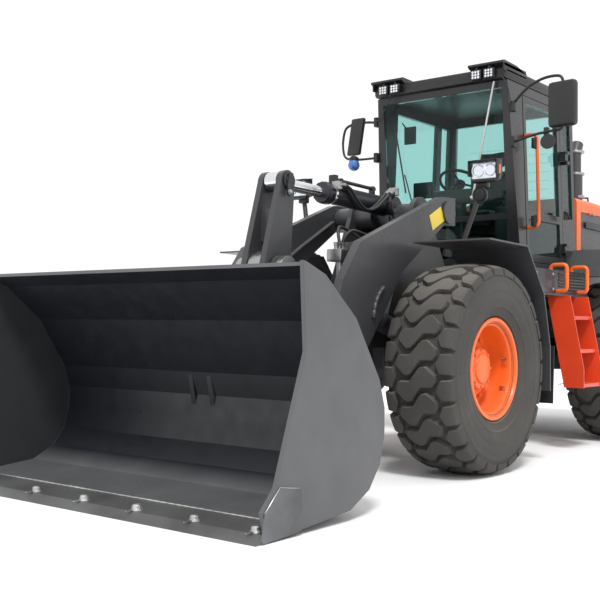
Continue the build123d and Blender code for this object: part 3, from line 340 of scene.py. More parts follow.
def tyre(name, x, side):
    """A carcass turned about the axle, with its rows of lugs, which stands for the plain CAD tyre."""
    mesh = bmesh.new()
    place = Vector((x, side * TRACK_HALF, TYRE_RADIUS))
    half = [(0.0, 0.0), (0.08, 0.0), (0.15, 0.0), (0.2, 0.0), (0.232, 0.004)]
    crown = [(tread_radius(v) - GROOVE + extra, v) for v, extra in half]
    wall = [
        (0.672, 0.247), (0.655, 0.2535), (0.640, 0.2545), (0.636, 0.2575), (0.629, 0.2575),
        (0.625, 0.2555),
    ]
    wall += [
        (0.60, 0.2595), (0.57, 0.2603), (0.545, 0.2600), (0.541, 0.2580), (0.532, 0.2580),
        (0.528, 0.2590),
    ]
    wall += [
        (0.50, 0.2560), (0.47, 0.2490), (0.45, 0.2420), (0.446, 0.2430), (0.438, 0.2430),
        (0.434, 0.2370),
    ]
    wall += [
        (0.41, 0.2280), (0.39, 0.2180), (0.386, 0.2190), (0.378, 0.2180), (0.374, 0.2100),
        (0.366, 0.199),
    ]
    wall += [(0.366, 0.196), (0.322, 0.196)]
    outer = crown + wall
    profile = [(r, v) for r, v in reversed(outer)][:-1] + [(r, -v) for r, v in outer]
    closed_lathe(mesh, place, (0, 1, 0), profile, 104)
    columns = [-1 + index / 8 for index in range(17)]
    low_chain = sorted((-u, -s) for u, s in CENTRE_LUG)
    for pitch in range(TREAD_PITCHES):
        turn = 2 * math.pi * pitch / TREAD_PITCHES
        tread_lug(
            mesh, place, columns, 4, lambda u: u * CENTRE_HALF,
            lambda u: chain_at(CENTRE_LUG, u), lambda u: chain_at(low_chain, u), turn,
        )
        for out in (1, -1):
            shift = out * SHOULDER_SHIFT
            tread_lug(
                mesh, place, [0, 0.16, 0.32, 0.5, 0.68, 0.84, 1.0], 4,
                lambda u, out=out: out * (SHOULDER_IN + (SHOULDER_OUT - SHOULDER_IN) * u),
                lambda u, shift=shift: shift + chain_at(SHOULDER_LUG, u),
                lambda u, shift=shift: shift - chain_at(SHOULDER_LUG, u), turn,
            )
    return piece(mesh, "tread_" + name, rubber, "wheel_" + name, 40, ["tyre_" + name])


for name, x, side in WHEELS:
    tyre(name, x, side)

# Rims: pressed steel wells with a rolled flange, a deep conical centre and the final drive's
# stepped cover, held by a ring of wheel nuts.
for name, x, side in WHEELS:
    mesh = bmesh.new()
    place, way = Vector((x, side * TRACK_HALF, TYRE_RADIUS)), Vector((0, side, 0))
    lip = [
        (0.345, 0.2155), (0.356, 0.2150), (0.362, 0.2100), (0.362, 0.203), (0.356, 0.198),
        (0.326, 0.197),
    ]
    well = [
        (0.3195, 0.190), (0.3180, -0.194), (0.350, -0.199), (0.362, -0.205), (0.362, -0.2155),
        (0.302, -0.2155),
    ]
    inside = [
        (0.302, -0.03), (0.19, 0.0), (0.095, 0.0), (0.095, 0.115), (0.0, 0.118), (0.0, 0.128),
        (0.088, 0.128),
    ]
    cover = [
        (0.104, 0.122), (0.110, 0.110), (0.142, 0.104), (0.150, 0.094), (0.152, 0.062), (0.188, 0.055),
    ]
    dish = [
        (0.200, 0.045), (0.204, 0.014), (0.262, 0.004), (0.288, 0.012), (0.298, 0.035), (0.302, 0.120),
    ]
    mouth = [
        (0.303, 0.165), (0.308, 0.178), (0.324, 0.186), (0.331, 0.196), (0.333, 0.209), (0.338, 0.2145),
    ]
    closed_lathe(mesh, place, way, lip + well + inside + cover + dish + mouth, 96)
    for index in range(16):
        turn = 2 * math.pi * (index + 0.5) / 16
        spot = place + Vector((0.234 * math.cos(turn), side * 0.0095, 0.234 * math.sin(turn)))
        hex_bolt(mesh, spot, way, 0.030, 0.024)
    for index in range(8):
        turn = 2 * math.pi * index / 8
        spot = place + Vector((0.130 * math.cos(turn), side * 0.106, 0.130 * math.sin(turn)))
        hex_bolt(mesh, spot, way, 0.016, 0.010)
    piece(mesh, "wheel_disc_" + name, orange, "wheel_" + name, 35, ["rim_" + name])
    mesh = bmesh.new()
    for turn, reach in ((2.62, 0.292), (3.35, 0.292)):
        foot = place + Vector((reach * math.cos(turn), side * 0.135, -reach * math.sin(turn)))
        inward = Vector((-math.cos(turn), 0, math.sin(turn)))
        round_bar(mesh, foot - inward * 0.012, foot + inward * 0.014, 0.011, 14)
        round_bar(mesh, foot + inward * 0.012, foot + inward * 0.012 + way * 0.04, 0.006, 12)
    piece(mesh, "valve_" + name, steel, "wheel_" + name)

# Bucket: welded plate, grey outside. Inside, the back is near black and shines and the cheeks are
# dark, both as painted shade in the hollow, and the floor is rubbed to bare grey.
bucket_plate, surface, node, link = shader("bucket plate")
place = node("ShaderNodeTexCoord")
from_middle = node("ShaderNodeVectorMath", operation="SUBTRACT")
from_middle.inputs[0].default_value = (3.15, 0, 0.72)
link(place.outputs["Object"], from_middle.inputs[1])
facing = node("ShaderNodeVectorMath", operation="DOT_PRODUCT")
link(place.outputs["Normal"], facing.inputs[0])
link(from_middle.outputs["Vector"], facing.inputs[1])
inward = node("ShaderNodeMath", operation="GREATER_THAN")
link(facing.outputs["Value"], inward.inputs[0])
inward.inputs[1].default_value = 0.0
axes = node("ShaderNodeSeparateXYZ")
link(place.outputs["Object"], axes.inputs[0])
low_down = node("ShaderNodeMapRange")
low_down.inputs["From Min"].default_value = 0.17
low_down.inputs["From Max"].default_value = 0.085
link(axes.outputs["Z"], low_down.inputs["Value"])
aside = node("ShaderNodeMath", operation="ABSOLUTE")
link(axes.outputs["Y"], aside.inputs[0])
cheek = node("ShaderNodeMath", operation="GREATER_THAN")
link(aside.outputs["Value"], cheek.inputs[0])
cheek.inputs[1].default_value = 1.333


def blend_paint(share, first, second):
    """The first colour where share is 0 and the second where it is 1."""
    mix = node("ShaderNodeMix", data_type="RGBA")
    link(share, mix.inputs["Factor"])
    for name, value in (("A", first), ("B", second)):
        if isinstance(value, tuple):
            mix.inputs[name].default_value = value
        else:
            link(value, mix.inputs[name])
    return mix.outputs["Result"]


# Painted shade: the back and cheeks inside the bucket are darkened; the lighter grey floor is wear.
inside_wear_and_painted_shade = blend_paint(
    low_down.outputs["Result"], (0.008, 0.0095, 0.014, 1), (0.105, 0.107, 0.110, 1),
)
inside_wear_and_painted_shade = blend_paint(cheek.outputs["Value"], inside_wear_and_painted_shade, (0.034, 0.036, 0.039, 1))
# Faces that look into the bucket take these darker colours, which paint the shade of its hollow.
plate_paint_and_painted_shade = blend_paint(inward.outputs["Value"], (0.080, 0.082, 0.087, 1), inside_wear_and_painted_shade)
tone = node("ShaderNodeVectorMath", operation="SCALE")
link(plate_paint_and_painted_shade, tone.inputs[0])
link(tone_map(node, link, 2.2, 0.86, 1.12), tone.inputs["Scale"])
link(tone.outputs["Vector"], surface.inputs["Base Color"])
link(tone_map(node, link, 9.0, 0.34, 0.50), surface.inputs["Roughness"])
surface.inputs["Coat Weight"].default_value = 0.1
surface.inputs["Coat Roughness"].default_value = 0.25
round_edges(surface, node, link, 0.004, 0.08, 260.0)
dress(bucket_plate, "bucket_shell")

# Bucket wear parts: plough bolts through the cutting edge, a bright weld bead behind it, and the
# bolts and weld of the corner guards on the cheeks.
EDGE_BOLT_X, EDGE_BOLT_Z, EDGE_BOLT_PITCH = 3.705, 0.0405, 0.43
worn = paint(
    "rubbed steel", (0.56, 0.56, 0.55), rough=0.36, metal=0.9, tone=0.25, dust=0.0, peel=0.3, coat=0.0,
)
mesh = bmesh.new()
for index in range(-3, 4):
    spot = Vector((EDGE_BOLT_X, max(-1.27, min(1.27, index * EDGE_BOLT_PITCH)), EDGE_BOLT_Z))
    nut = [
        (0, -0.004), (0.036, -0.004), (0.036, 0.004), (0.027, 0.010), (0.026, 0.026), (0.018, 0.032),
        (0, 0.034),
    ]
    closed_lathe(mesh, spot, (0.07, 0, 1), nut, 9)
    plate(mesh, [(0.03, -0.010, 0), (0.085, 0, 0), (0.03, 0.010, 0)], (0, 0, 1), 0.006, spot)
piece(mesh, "edge_bolts", worn, "bucket", 30)
mesh = bmesh.new()
bead_points = [Vector((3.5175, -1.33 + index * 0.019, 0.0565)) for index in range(141)]
rings = []
eighths = [k * math.pi / 4 for k in range(8)]
for index, spot in enumerate(bead_points):
    size = 0.0058 + 0.0014 * math.sin(index * 2.1) + 0.0009 * math.sin(index * 0.37)
    around = [Vector((size * 1.5 * math.cos(a), 0, size * math.sin(a))) for a in eighths]
    rings.append([mesh.verts.new(spot + reach) for reach in around])
for near, far in zip(rings, rings[1:]):
    for k in range(8):
        mesh.faces.new((near[k], near[(k + 1) % 8], far[(k + 1) % 8], far[k]))
mesh.faces.new(rings[0])
mesh.faces.new(list(reversed(rings[-1])))
piece(mesh, "edge_weld", worn, "bucket", 60)
for label, side in (("left", 1), ("right", -1)):
    mesh = bmesh.new()
    out = side * 1.3602
    guard = [(3.487, 0.026), (3.487, 0.232), (3.640, 0.252), (3.752, 0.142)]
    for x, z in ((3.560, 0.188), (3.560, 0.080), (3.690, 0.080)):
        hex_bolt(mesh, (x, side * 1.3625, z), (0, side, 0), 0.026, 0.0055)
    piece(mesh, "guard_bolts_" + label, worn, "bucket")
    mesh = bmesh.new()
    for (x0, z0), (x1, z1) in zip(guard, guard[1:]):
        round_bar(mesh, (x0, out, z0), (x1, out, z1), 0.0055, 10)
    piece(mesh, "guard_weld_" + label, worn, "bucket", 60)

# Boom: flame-cut side plates, with a plain yellow plate on each and a curved guard bar welded to
# the outside.
yellow = paint("yellow sheet", (0.80, 0.60, 0.05), rough=0.4, peel=0.02)
for label, side in (("left", 1), ("right", -1)):
    mesh = bmesh.new()
    sign = [(0.836, 0, 1.880), (0.665, 0, 1.966), (0.600, 0, 1.866), (0.784, 0, 1.772)]
    plate(mesh, sign, (0, side, 0), 0.003, (0, side * 0.5452, 0))
    piece(mesh, "yellow_plate_" + label, yellow, "boom")
    mesh = bmesh.new()
    arc = [
        (1.470, 1.315), (1.505, 1.290), (1.540, 1.255), (1.572, 1.205), (1.592, 1.150), (1.600, 1.095),
    ]
    for (x0, z0), (x1, z1) in zip(arc, arc[1:]):
        round_bar(mesh, (x0, side * 0.552, z0), (x1, side * 0.552, z1), 0.016, 14)
    piece(mesh, "guard_bar_" + label, grey, "boom", 60)

# Tilt cylinder: forged gland with a ring of cap screws, a bright band, a position sensor in its
# tube on top, and two hoses that run back over the barrel to the front frame.
AXIS = Vector((1.410, 0, 0.035)).normalized()
TILT_EYE = Vector((0.600, 0, 2.010))


def along_tilt(distance, up=0.0, out=0.0):
    """A place by its distance along the tilt cylinder, its height over the axis and its offset in y."""
    rise = Vector((-AXIS.z, 0, AXIS.x))
    return TILT_EYE + AXIS * distance + rise * up + Vector((0, out, 0))


mesh = bmesh.new()
gland = [
    (0.045, 0.800), (0.0815, 0.800), (0.0840, 0.806), (0.0840, 0.850), (0.0790, 0.856), (0.0790, 0.872),
    (0.068, 0.8795), (0.045, 0.8795),
]
closed_lathe(mesh, TILT_EYE, AXIS, gland, 48)
for index in range(12):
    turn = 2 * math.pi * index / 12
    spot = along_tilt(0.872, 0.0735 * math.cos(turn), 0.0735 * math.sin(turn))
    hex_bolt(mesh, spot, AXIS, 0.011, 0.007)
foot = [(0.0765, 0.02), (0.081, 0.025), (0.081, 0.055), (0.0765, 0.06)]
closed_lathe(mesh, TILT_EYE, AXIS, foot, 40)
piece(mesh, "tilt_gland", black, "tilt_barrel")
mesh = bmesh.new()
closed_lathe(
    mesh, TILT_EYE, AXIS, [(0.0765, 0.762), (0.0800, 0.764), (0.0800, 0.786), (0.0765, 0.788)], 48,
)
piece(mesh, "gland_band", chrome, "tilt_barrel")
mesh = bmesh.new()
round_bar(mesh, along_tilt(0.16, 0.118), along_tilt(0.69, 0.118), 0.014, 16)
for distance in (0.20, 0.64):
    block(
        mesh, along_tilt(distance - 0.016, 0.070, -0.022), along_tilt(distance + 0.016, 0.136, 0.022),
        0.004,
    )
block(mesh, along_tilt(0.70, 0.070, -0.030), along_tilt(0.75, 0.150, 0.030), 0.006)
piece(mesh, "position_sensor", black, "tilt_barrel")
hose_rubber = paint(
    "hose cover", (0.012, 0.012, 0.014), rough=0.5, dust=0.2, peel=0.2, radius=0, coat=0.1,
)


def hose(name, points, radius, body, material=None):
    """A hose or pipe on one smooth curve."""
    curve = bpy.data.curves.new(name, "CURVE")
    curve.dimensions = "3D"
    spline = curve.splines.new("NURBS")
    spline.points.add(len(points) - 1)
    for point, spot in zip(spline.points, points):
        point.co = (*spot, 1)
    spline.order_u = 3
    spline.use_endpoint_u = True
    curve.bevel_depth = radius
    curve.bevel_resolution = 3
    curve.resolution_u = 10
    curve.use_fill_caps = True
    curve.materials.append(material or hose_rubber)
    made = bpy.data.objects.new(name, curve)
    bpy.context.scene.collection.objects.link(made)
    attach(made, body)
    return made


def fitting(mesh, start, end, radius=0.016):
    """A crimped ferrule with its hexagon nut."""
    start, end = Vector(start), Vector(end)
    run = end - start
    round_bar(mesh, start, start + run * 0.62, radius, 18)
    closed_lathe(
        mesh, start + run * 0.6, run,
        [(0, 0), (radius * 1.25, 0), (radius * 1.25, run.length * 0.4), (0, run.length * 0.4)], 6,
    )


mesh = bmesh.new()
for out in (0.082, 0.118):
    begin = along_tilt(0.815, 0.055, out)
    fitting(mesh, begin + Vector((-0.075, 0.0, 0.006)), begin)
    hose(
        f"tilt_hose_{round(out * 1000)}",
        [
            begin + Vector((-0.06, 0, 0.006)), (1.270, out, 2.085), (1.175, out, 1.990),
            (1.060, out, 1.930), (0.930, out, 1.945), (0.800, out, 2.030), (0.730, out, 2.085),
        ],
        0.0125, "tilt_barrel",
    )
    fitting(mesh, (0.720, out, 2.092), (0.655, out, 2.125), 0.017)
block(mesh, along_tilt(0.790, 0.020, 0.070), along_tilt(0.845, 0.080, 0.132), 0.005)
block(mesh, (0.600, 0.066, 2.085), (0.660, 0.134, 2.150), 0.006)
piece(mesh, "hose_fittings", steel, "tilt_barrel")

# Boom hydraulics: a valve block and junction on the cross tube, with looped hoses down to it and
# grey pipes that follow the side plates to the pivot.
mesh = bmesh.new()
block(mesh, (1.500, 0.170, 1.500), (1.640, 0.300, 1.590), 0.008)
for x in (1.530, 1.570, 1.610):
    fitting(mesh, (x, 0.235, 1.575), (x, 0.235, 1.640))
round_bar(mesh, (1.56, 0.235, 1.30), (1.56, 0.235, 1.50), 0.030, 16)
piece(mesh, "junction_block", steel, "boom")
for label, side in (("left", 1), ("right", -1)):
    for index, inset in enumerate((0.462, 0.442)):
        run = [
            (1.640, side * inset, 1.330), (1.250, side * inset, 1.600), (0.900, side * inset, 1.790),
            (0.700, side * inset, 1.900),
        ]
        hose(
            f"boom_pipe_{label}_{index}", [(1.700, side * 0.36, 1.290), *run], 0.011, "boom", grey,
        )
hose(
    "junction_hose_a",
    [
        (1.53, 0.235, 1.64), (1.50, 0.26, 1.74), (1.38, 0.30, 1.72), (1.20, 0.36, 1.66),
        (1.10, 0.42, 1.66),
    ],
    0.012, "boom",
)
hose(
    "junction_hose_b",
    [
        (1.57, 0.235, 1.64), (1.56, 0.20, 1.76), (1.42, 0.18, 1.76), (1.25, 0.24, 1.66),
        (1.12, 0.34, 1.62),
    ],
    0.012, "boom",
)

# Bell crank: a turned cap, a lock plate and its screw on each end of the top pin.
mesh = bmesh.new()
for side in (1, -1):
    closed_lathe(
        mesh, (2.010, side * 0.105, 2.045), (0, side, 0),
        [(0, 0), (0.060, 0), (0.060, 0.016), (0.054, 0.020), (0.036, 0.020), (0.034, 0.024), (0, 0.024)],
        40,
    )
    lock = [
        (1.988, 0, 2.095), (2.030, 0, 2.100), (2.052, 0, 2.010), (2.046, 0, 1.940), (2.020, 0, 1.932),
        (2.012, 0, 1.960),
    ]
    plate(mesh, lock, (0, side, 0), 0.012, (0, side * 0.1255, 0))
piece(mesh, "crank_locks", black, "bell_crank")
mesh = bmesh.new()
for side in (1, -1):
    hex_bolt(mesh, (2.032, side * 0.1385, 1.962), (0, side, 0), 0.026, 0.018)
piece(mesh, "crank_screws", steel, "bell_crank")

# Front fenders: a moulded rubber flap hangs behind each bent plate, held by three bolts.
flap_rubber = paint("flap rubber", (0.010, 0.010, 0.011), rough=0.6, dust=0.2, peel=0.3, coat=0.0)
for label, side in (("left", 1), ("right", -1)):
    mesh = bmesh.new()
    plate(
        mesh,
        [
            (0.128, side * 0.79, 0.90), (0.128, side * 1.235, 0.90), (0.150, side * 1.235, 0.46),
            (0.150, side * 0.86, 0.46),
        ],
        (-1, 0, 0), 0.010,
    )
    piece(mesh, "fender_flap_" + label, flap_rubber, "front")
    mesh = bmesh.new()
    for out in (0.84, 0.98, 1.12):
        hex_bolt(mesh, (0.1185, side * out, 0.86), (-1, 0, 0), 0.020, 0.012)
    piece(mesh, "flap_bolts_" + label, steel, "front")

# Headlamps: black moulded housings with a peak, on posts above the front fenders. Two bright
# bowls sit behind clear glass in each, with an amber lamp outside, and a horn hangs under the left.
clear = lens("clear lens", (0.95, 0.97, 1.0), 1.0, 0.03, 1.2)
mirror_coat = paint(
    "reflector", (0.86, 0.87, 0.90), rough=0.08, metal=1.0, tone=0.02, dust=0.0, peel=0.35, radius=0,
    coat=0.0,
)
amber = lens("amber lens", (0.95, 0.22, 0.02), 0.35, 0.18)
moulded = paint("moulded black", (0.009, 0.009, 0.010), rough=0.42, dust=0.1, peel=0.25, coat=0.1)
LAMP_X, LAMP_Y, LAMP_Z = (0.500, 0.622), (0.775, 1.005), (2.130, 2.300)
CASE_TAPER_X, CASE_MIDDLE_Y, CASE_MIDDLE_Z = 0.55, 0.89, 2.215
for label, side in (("left", 1), ("right", -1)):
    mesh = bmesh.new()
    near, far = zip(LAMP_X, (side * LAMP_Y[0], side * LAMP_Y[1]), LAMP_Z)
    case = block(mesh, near, far, 0.028)
    for vert in case:
        if vert.co.x < CASE_TAPER_X:
            vert.co.z = CASE_MIDDLE_Z + (vert.co.z - CASE_MIDDLE_Z) * 0.72
            vert.co.y = side * CASE_MIDDLE_Y + (vert.co.y - side * CASE_MIDDLE_Y) * 0.80
    plate(
        mesh,
        [
            (0.56, side * 0.765, 2.302), (0.675, side * 0.785, 2.288), (0.675, side * 0.995, 2.288),
            (0.56, side * 1.015, 2.302),
        ],
        (0, 0, 1), 0.008,
    )
    for inner, outer in ((0.768, 0.782), (0.998, 1.012)):
        block(mesh, (0.56, side * inner, 2.18), (0.655, side * outer, 2.300), 0.005)
    block(mesh, (0.612, side * 0.788, 2.134), (0.640, side * 0.992, 2.158), 0.006)
    round_bar(mesh, (0.655, side * 0.720, 1.648), (0.560, side * 0.860, 2.140), 0.020, 18)
    block(mesh, (0.615, side * 0.680, 1.6424), (0.695, side * 0.760, 1.6560), 0.003)
    block(mesh, (0.535, side * 0.820, 2.100), (0.590, side * 0.900, 2.150), 0.008)
    piece(mesh, "lamp_case_" + label, moulded, "front")
    mesh = bmesh.new()
    for y0, y1, deep in ((0.796, 0.890, 0.030), (0.894, 0.984, 0.026)):
        middle = (0.628, side * (y0 + y1) / 2, 2.222)
        bowl = [
            (0.000, -deep), (0.016, -deep), (0.034, -deep * 0.55), (0.044, -0.002), (0.049, 0.0),
            (0.049, 0.004), (0.043, 0.003), (0.030, -deep * 0.45), (0.014, -deep + 0.003),
            (0.0, -deep + 0.003),
        ]
        closed_lathe(mesh, middle, (1, 0, 0), bowl, 32)
        round_bar(mesh, (0.628 - deep, middle[1], 2.222), (0.624, middle[1], 2.222), 0.010, 16)
    block(mesh, (0.6222, side * 0.792, 2.160), (0.6235, side * 0.988, 2.286), 0.0005)
    piece(mesh, "lamp_reflector_" + label, mirror_coat, "front")
    mesh = bmesh.new()
    block(mesh, (0.634, side * 0.790, 2.160), (0.642, side * 0.990, 2.286), 0.004)
    piece(mesh, "lamp_glass_" + label, clear, "front")
    mesh = bmesh.new()
    block(mesh, (0.590, side * 1.0055, 2.19), (0.620, side * 1.014, 2.26), 0.004)
    piece(mesh, "turn_lamp_" + label, amber, "front")
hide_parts("headlamps")
mesh = bmesh.new()
closed_lathe(
    mesh, (0.585, 0.850, 2.040), (1, -0.1, -0.1),
    [
        (0, -0.02), (0.030, -0.02), (0.060, 0.0), (0.066, 0.018), (0.060, 0.030), (0.048, 0.026),
        (0.044, 0.036), (0.022, 0.040), (0, 0.034),
    ],
    36,
)
for index in range(10):
    turn = 2 * math.pi * index / 10
    block(
        mesh, (0.604, 0.845 + 0.05 * math.cos(turn), 2.035 + 0.05 * math.sin(turn)),
        (0.618, 0.852 + 0.055 * math.cos(turn), 2.042 + 0.055 * math.sin(turn)), 0.001,
    )
piece(mesh, "horn", moulded, "front")

# Cab roof: a moulded lid with two low ribs, whose front corners rise into peaks over the lamps.
ROOF_BOTTOM, ROOF_TOP = 3.130, 3.238
mesh = bmesh.new()
block(mesh, (-1.740, -0.655, ROOF_BOTTOM), (-0.215, 0.655, ROOF_TOP), 0.030)
for side in (1, -1):
    peak = [
        (-0.640, 0, 3.230), (-0.430, 0, 3.272), (-0.190, 0, 3.278), (-0.166, 0, 3.268),
        (-0.166, 0, 3.252), (-0.215, 0, 3.232),
    ]
    plate(mesh, peak, (0, side, 0), 0.325, (0, side * 0.330, 0))
    block(mesh, (-0.62, side * 0.640, 3.19), (-0.19, side * 0.655, 3.262), 0.006)
for y in (-0.30, 0.30):
    block(mesh, (-1.55, y - 0.03, ROOF_TOP - 0.004), (-0.75, y + 0.03, ROOF_TOP + 0.012), 0.008)
piece(mesh, "roof_skin", moulded, "chassis", 30, ["cab_roof"])

# Work lamps: square lamps with ribbed bodies, each behind a lens of nine cells on its own bracket.
lamp_white = paint(
    "lamp cells", (0.72, 0.74, 0.78), rough=0.15, metal=0.6, tone=0.15, dust=0.0, peel=0.5, radius=0,
    coat=0.6,
)
bodies, lenses = bmesh.new(), bmesh.new()
lamps = [(-0.212, side * y, 1) for side in (1, -1) for y in (0.405, 0.525)]
lamps += [(-1.742, side * 0.48, -1) for side in (1, -1)]
for x, y, way in lamps:
    front = x + way * 0.050
    block(bodies, (x + way * 0.012, y - 0.050, 3.135), (front, y + 0.050, 3.222), 0.008)
    for index in range(4):
        block(
            bodies, (x + way * 0.002, y - 0.042 + index * 0.024, 3.142),
            (x + way * 0.014, y - 0.036 + index * 0.024, 3.214), 0.001,
        )
    block(bodies, (x + way * 0.018, y - 0.010, 3.220), (x + way * 0.034, y + 0.010, 3.246), 0.003)
    for a in range(3):
        for b in range(3):
            cell = (front - way * 0.001, y + (a - 1) * 0.026, 3.1785 + (b - 1) * 0.023)
            closed_lathe(
                lenses, cell, (way, 0, 0),
                [(0, 0), (0.0112, 0), (0.0100, 0.0035), (0.005, 0.0055), (0, 0.006)], 12,
            )
piece(bodies, "work_lamp_bodies", moulded, "chassis", 32, ["work_lights"])
piece(lenses, "work_lamp_lenses", lamp_white, "chassis")
hose(
    "lamp_cable_right",
    [(-0.19, -0.45, 3.14), (-0.20, -0.50, 3.05), (-0.24, -0.58, 2.96), (-0.27, -0.655, 2.93)], 0.005,
    "chassis",
)
hose(
    "lamp_cable_left",
    [(-0.19, 0.60, 3.19), (-0.21, 0.66, 3.10), (-0.25, 0.67, 3.02), (-0.29, 0.672, 2.90)], 0.005,
    "chassis",
)

# Beacon: an orange dome on a black base at the roof's left rear edge.
mesh = bmesh.new()
closed_lathe(
    mesh, (-1.50, 0.56, 3.236), (0, 0, 1),
    [(0, 0), (0.060, 0), (0.060, 0.010), (0.052, 0.014), (0, 0.014)], 32,
)
piece(mesh, "beacon_base", moulded, "chassis")
mesh = bmesh.new()
closed_lathe(
    mesh, (-1.50, 0.56, 3.249), (0, 0, 1),
    [(0, 0), (0.050, 0), (0.048, 0.016), (0.040, 0.026), (0.020, 0.030), (0, 0.0305)], 32,
)
piece(mesh, "beacon_dome", amber, "chassis")

# Mirrors: rounded black heads on bent tube arms, with a small convex mirror below and, on the right,
# a convex mirror dome painted blue as a painted reflection of the sky.
# The right convex mirror dome: its blue colour and coat are a painted reflection of the sky.
blue = paint(
    "painted sky reflection", (0.035, 0.13, 0.42), rough=0.22, tone=0.2, dust=0.0, peel=0.0, radius=0, coat=0.8,
)
mesh = bmesh.new()
head = block(mesh, (-0.300, 1.020, 2.665), (-0.205, 1.262, 3.035), 0.030)
for vert in head:
    vert.co.x += 0.10 * (vert.co.y - 1.14)
closed_lathe(
    mesh, (-0.255, 1.015, 2.555), (1, 0.2, 0.1),
    [(0, -0.012), (0.040, -0.012), (0.058, 0.0), (0.062, 0.012), (0.060, 0.018), (0, 0.018)], 36,
)
block(mesh, (-0.30, 0.970, 2.600), (-0.26, 1.010, 2.680), 0.006)
for y, z in ((0.672, 2.90), (0.672, 2.60)):
    block(mesh, (-0.345, y - 0.008, z - 0.045), (-0.285, y + 0.030, z + 0.045), 0.006)
piece(mesh, "mirror_heads_left", moulded, "chassis", 35, ["mirrors"])
hose(
    "mirror_arm_upper_left",
    [
        (-0.315, 0.690, 2.93), (-0.270, 0.800, 3.02), (-0.250, 0.960, 3.085), (-0.245, 1.100, 3.090),
        (-0.245, 1.145, 3.060), (-0.250, 1.150, 2.980),
    ],
    0.012, "chassis", moulded,
)
hose(
    "mirror_arm_lower_left",
    [
        (-0.315, 0.690, 2.60), (-0.260, 0.850, 2.625), (-0.255, 1.050, 2.645), (-0.252, 1.140, 2.640),
        (-0.252, 1.150, 2.700),
    ],
    0.011, "chassis", moulded,
)
mesh = bmesh.new()
head = block(mesh, (-0.305, -0.960, 2.640), (-0.255, -0.820, 2.985), 0.022)
for vert in head:
    vert.co.y += 0.16 * (vert.co.z - 2.81)
closed_lathe(
    mesh, (-0.265, -0.905, 2.612), (0, 0, 1),
    [(0, -0.02), (0.045, -0.02), (0.045, 0.004), (0.02, 0.02), (0, 0.02)], 28,
)
for z in (2.93, 2.60):
    block(mesh, (-0.345, -0.702, z - 0.045), (-0.285, -0.664, z + 0.045), 0.006)
piece(mesh, "mirror_heads_right", moulded, "chassis", 35)
hose(
    "mirror_arm_upper_right",
    [
        (-0.315, -0.690, 2.93), (-0.280, -0.800, 2.945), (-0.265, -0.960, 2.930),
        (-0.262, -1.020, 2.880), (-0.262, -1.030, 2.760),
    ],
    0.012, "chassis", moulded,
)
hose(
    "mirror_arm_lower_right",
    [
        (-0.315, -0.690, 2.60), (-0.270, -0.860, 2.590), (-0.262, -1.000, 2.610),
        (-0.262, -1.030, 2.700), (-0.262, -1.030, 2.780),
    ],
    0.011, "chassis", moulded,
)
mesh = bmesh.new()
dome = [
    (0, -0.055), (0.024, -0.050), (0.043, -0.036), (0.055, -0.014), (0.056, 0.008), (0.048, 0.030),
    (0.045, 0.042), (0, 0.042),
]
closed_lathe(mesh, (-0.265, -0.905, 2.545), (0, 0, 1), dome, 36)
piece(mesh, "mirror_dome_painted_sky", blue, "chassis", 50)

# Wipers: a bright arm on the windscreen, with black rods for the blades in front and behind.
mesh = bmesh.new()
round_bar(mesh, (-0.330, 0.300, 2.180), (-0.235, 0.540, 3.120), 0.009, 12)
round_bar(mesh, (-0.345, 0.296, 2.150), (-0.315, 0.296, 2.165), 0.018, 16)
piece(mesh, "wiper_arm", worn, "chassis")
mesh = bmesh.new()
round_bar(mesh, (-0.337, -0.380, 2.250), (-0.292, -0.470, 2.850), 0.007, 10)
round_bar(mesh, (-0.345, -0.300, 2.100), (-0.330, -0.390, 2.420), 0.006, 10)
round_bar(mesh, (-1.655, -0.100, 2.250), (-1.655, 0.180, 2.640), 0.007, 10)
piece(mesh, "wiper_blades", moulded, "chassis")

# Cab inside: steering column with its padded wheel, an instrument pod, two side consoles with
# levers, and a mirror under the roof.
mesh = bmesh.new()
block(mesh, (-0.640, -0.085, 1.6010), (-0.530, 0.085, 2.180), 0.025)
block(mesh, (-0.600, -0.200, 2.140), (-0.480, 0.200, 2.270), 0.030)
block(mesh, (-1.200, -0.420, 1.6010), (-0.760, -0.285, 2.180), 0.020)
block(mesh, (-1.200, 0.285, 1.6010), (-0.760, 0.420, 2.120), 0.020)
block(mesh, (-0.585, -0.430, 2.220), (-0.545, -0.235, 2.370), 0.012)
round_bar(mesh, (-0.560, -0.330, 1.700), (-0.565, -0.330, 2.230), 0.014, 12)
for x, y in ((-0.84, -0.35), (-0.90, -0.35), (-0.86, 0.35)):
    round_bar(mesh, (x, y, 2.10), (x + 0.01, y, 2.250), 0.007, 10)
    closed_lathe(
        mesh, (x + 0.01, y, 2.245), (0, 0, 1),
        [(0, 0), (0.012, 0.002), (0.018, 0.016), (0.014, 0.034), (0, 0.040)], 16,
    )
wheel_way = Vector((-80, 0, 130)).normalized()
centre = Vector((-0.660, 0, 2.345))
rim = [(0.190 + 0.014 * math.cos(a), 0.014 * math.sin(a)) for a in [k * math.pi / 6 for k in range(12)]]
closed_lathe(mesh, centre, wheel_way, rim, 64)
closed_lathe(
    mesh, centre, wheel_way, [(0, -0.03), (0.045, -0.03), (0.050, 0.0), (0.042, 0.014), (0, 0.016)], 28,
)
side_way = Vector((0, 1, 0))
rise_way = wheel_way.cross(side_way)
for turn in (0.5, 2.64, 4.71):
    out = side_way * math.cos(turn) + rise_way * math.sin(turn)
    round_bar(mesh, centre + out * 0.03, centre + out * 0.188, 0.010, 10)
round_bar(mesh, (-0.580, 0, 2.170), centre, 0.030, 20)
piece(mesh, "cab_controls", moulded, "chassis", 35, ["console"])
mesh = bmesh.new()
block(mesh, (-0.385, -0.420, 2.700), (-0.365, -0.300, 2.860), 0.012)
round_bar(mesh, (-0.350, -0.430, 2.900), (-0.372, -0.365, 2.800), 0.006, 10)
piece(mesh, "inside_mirror", moulded, "chassis")

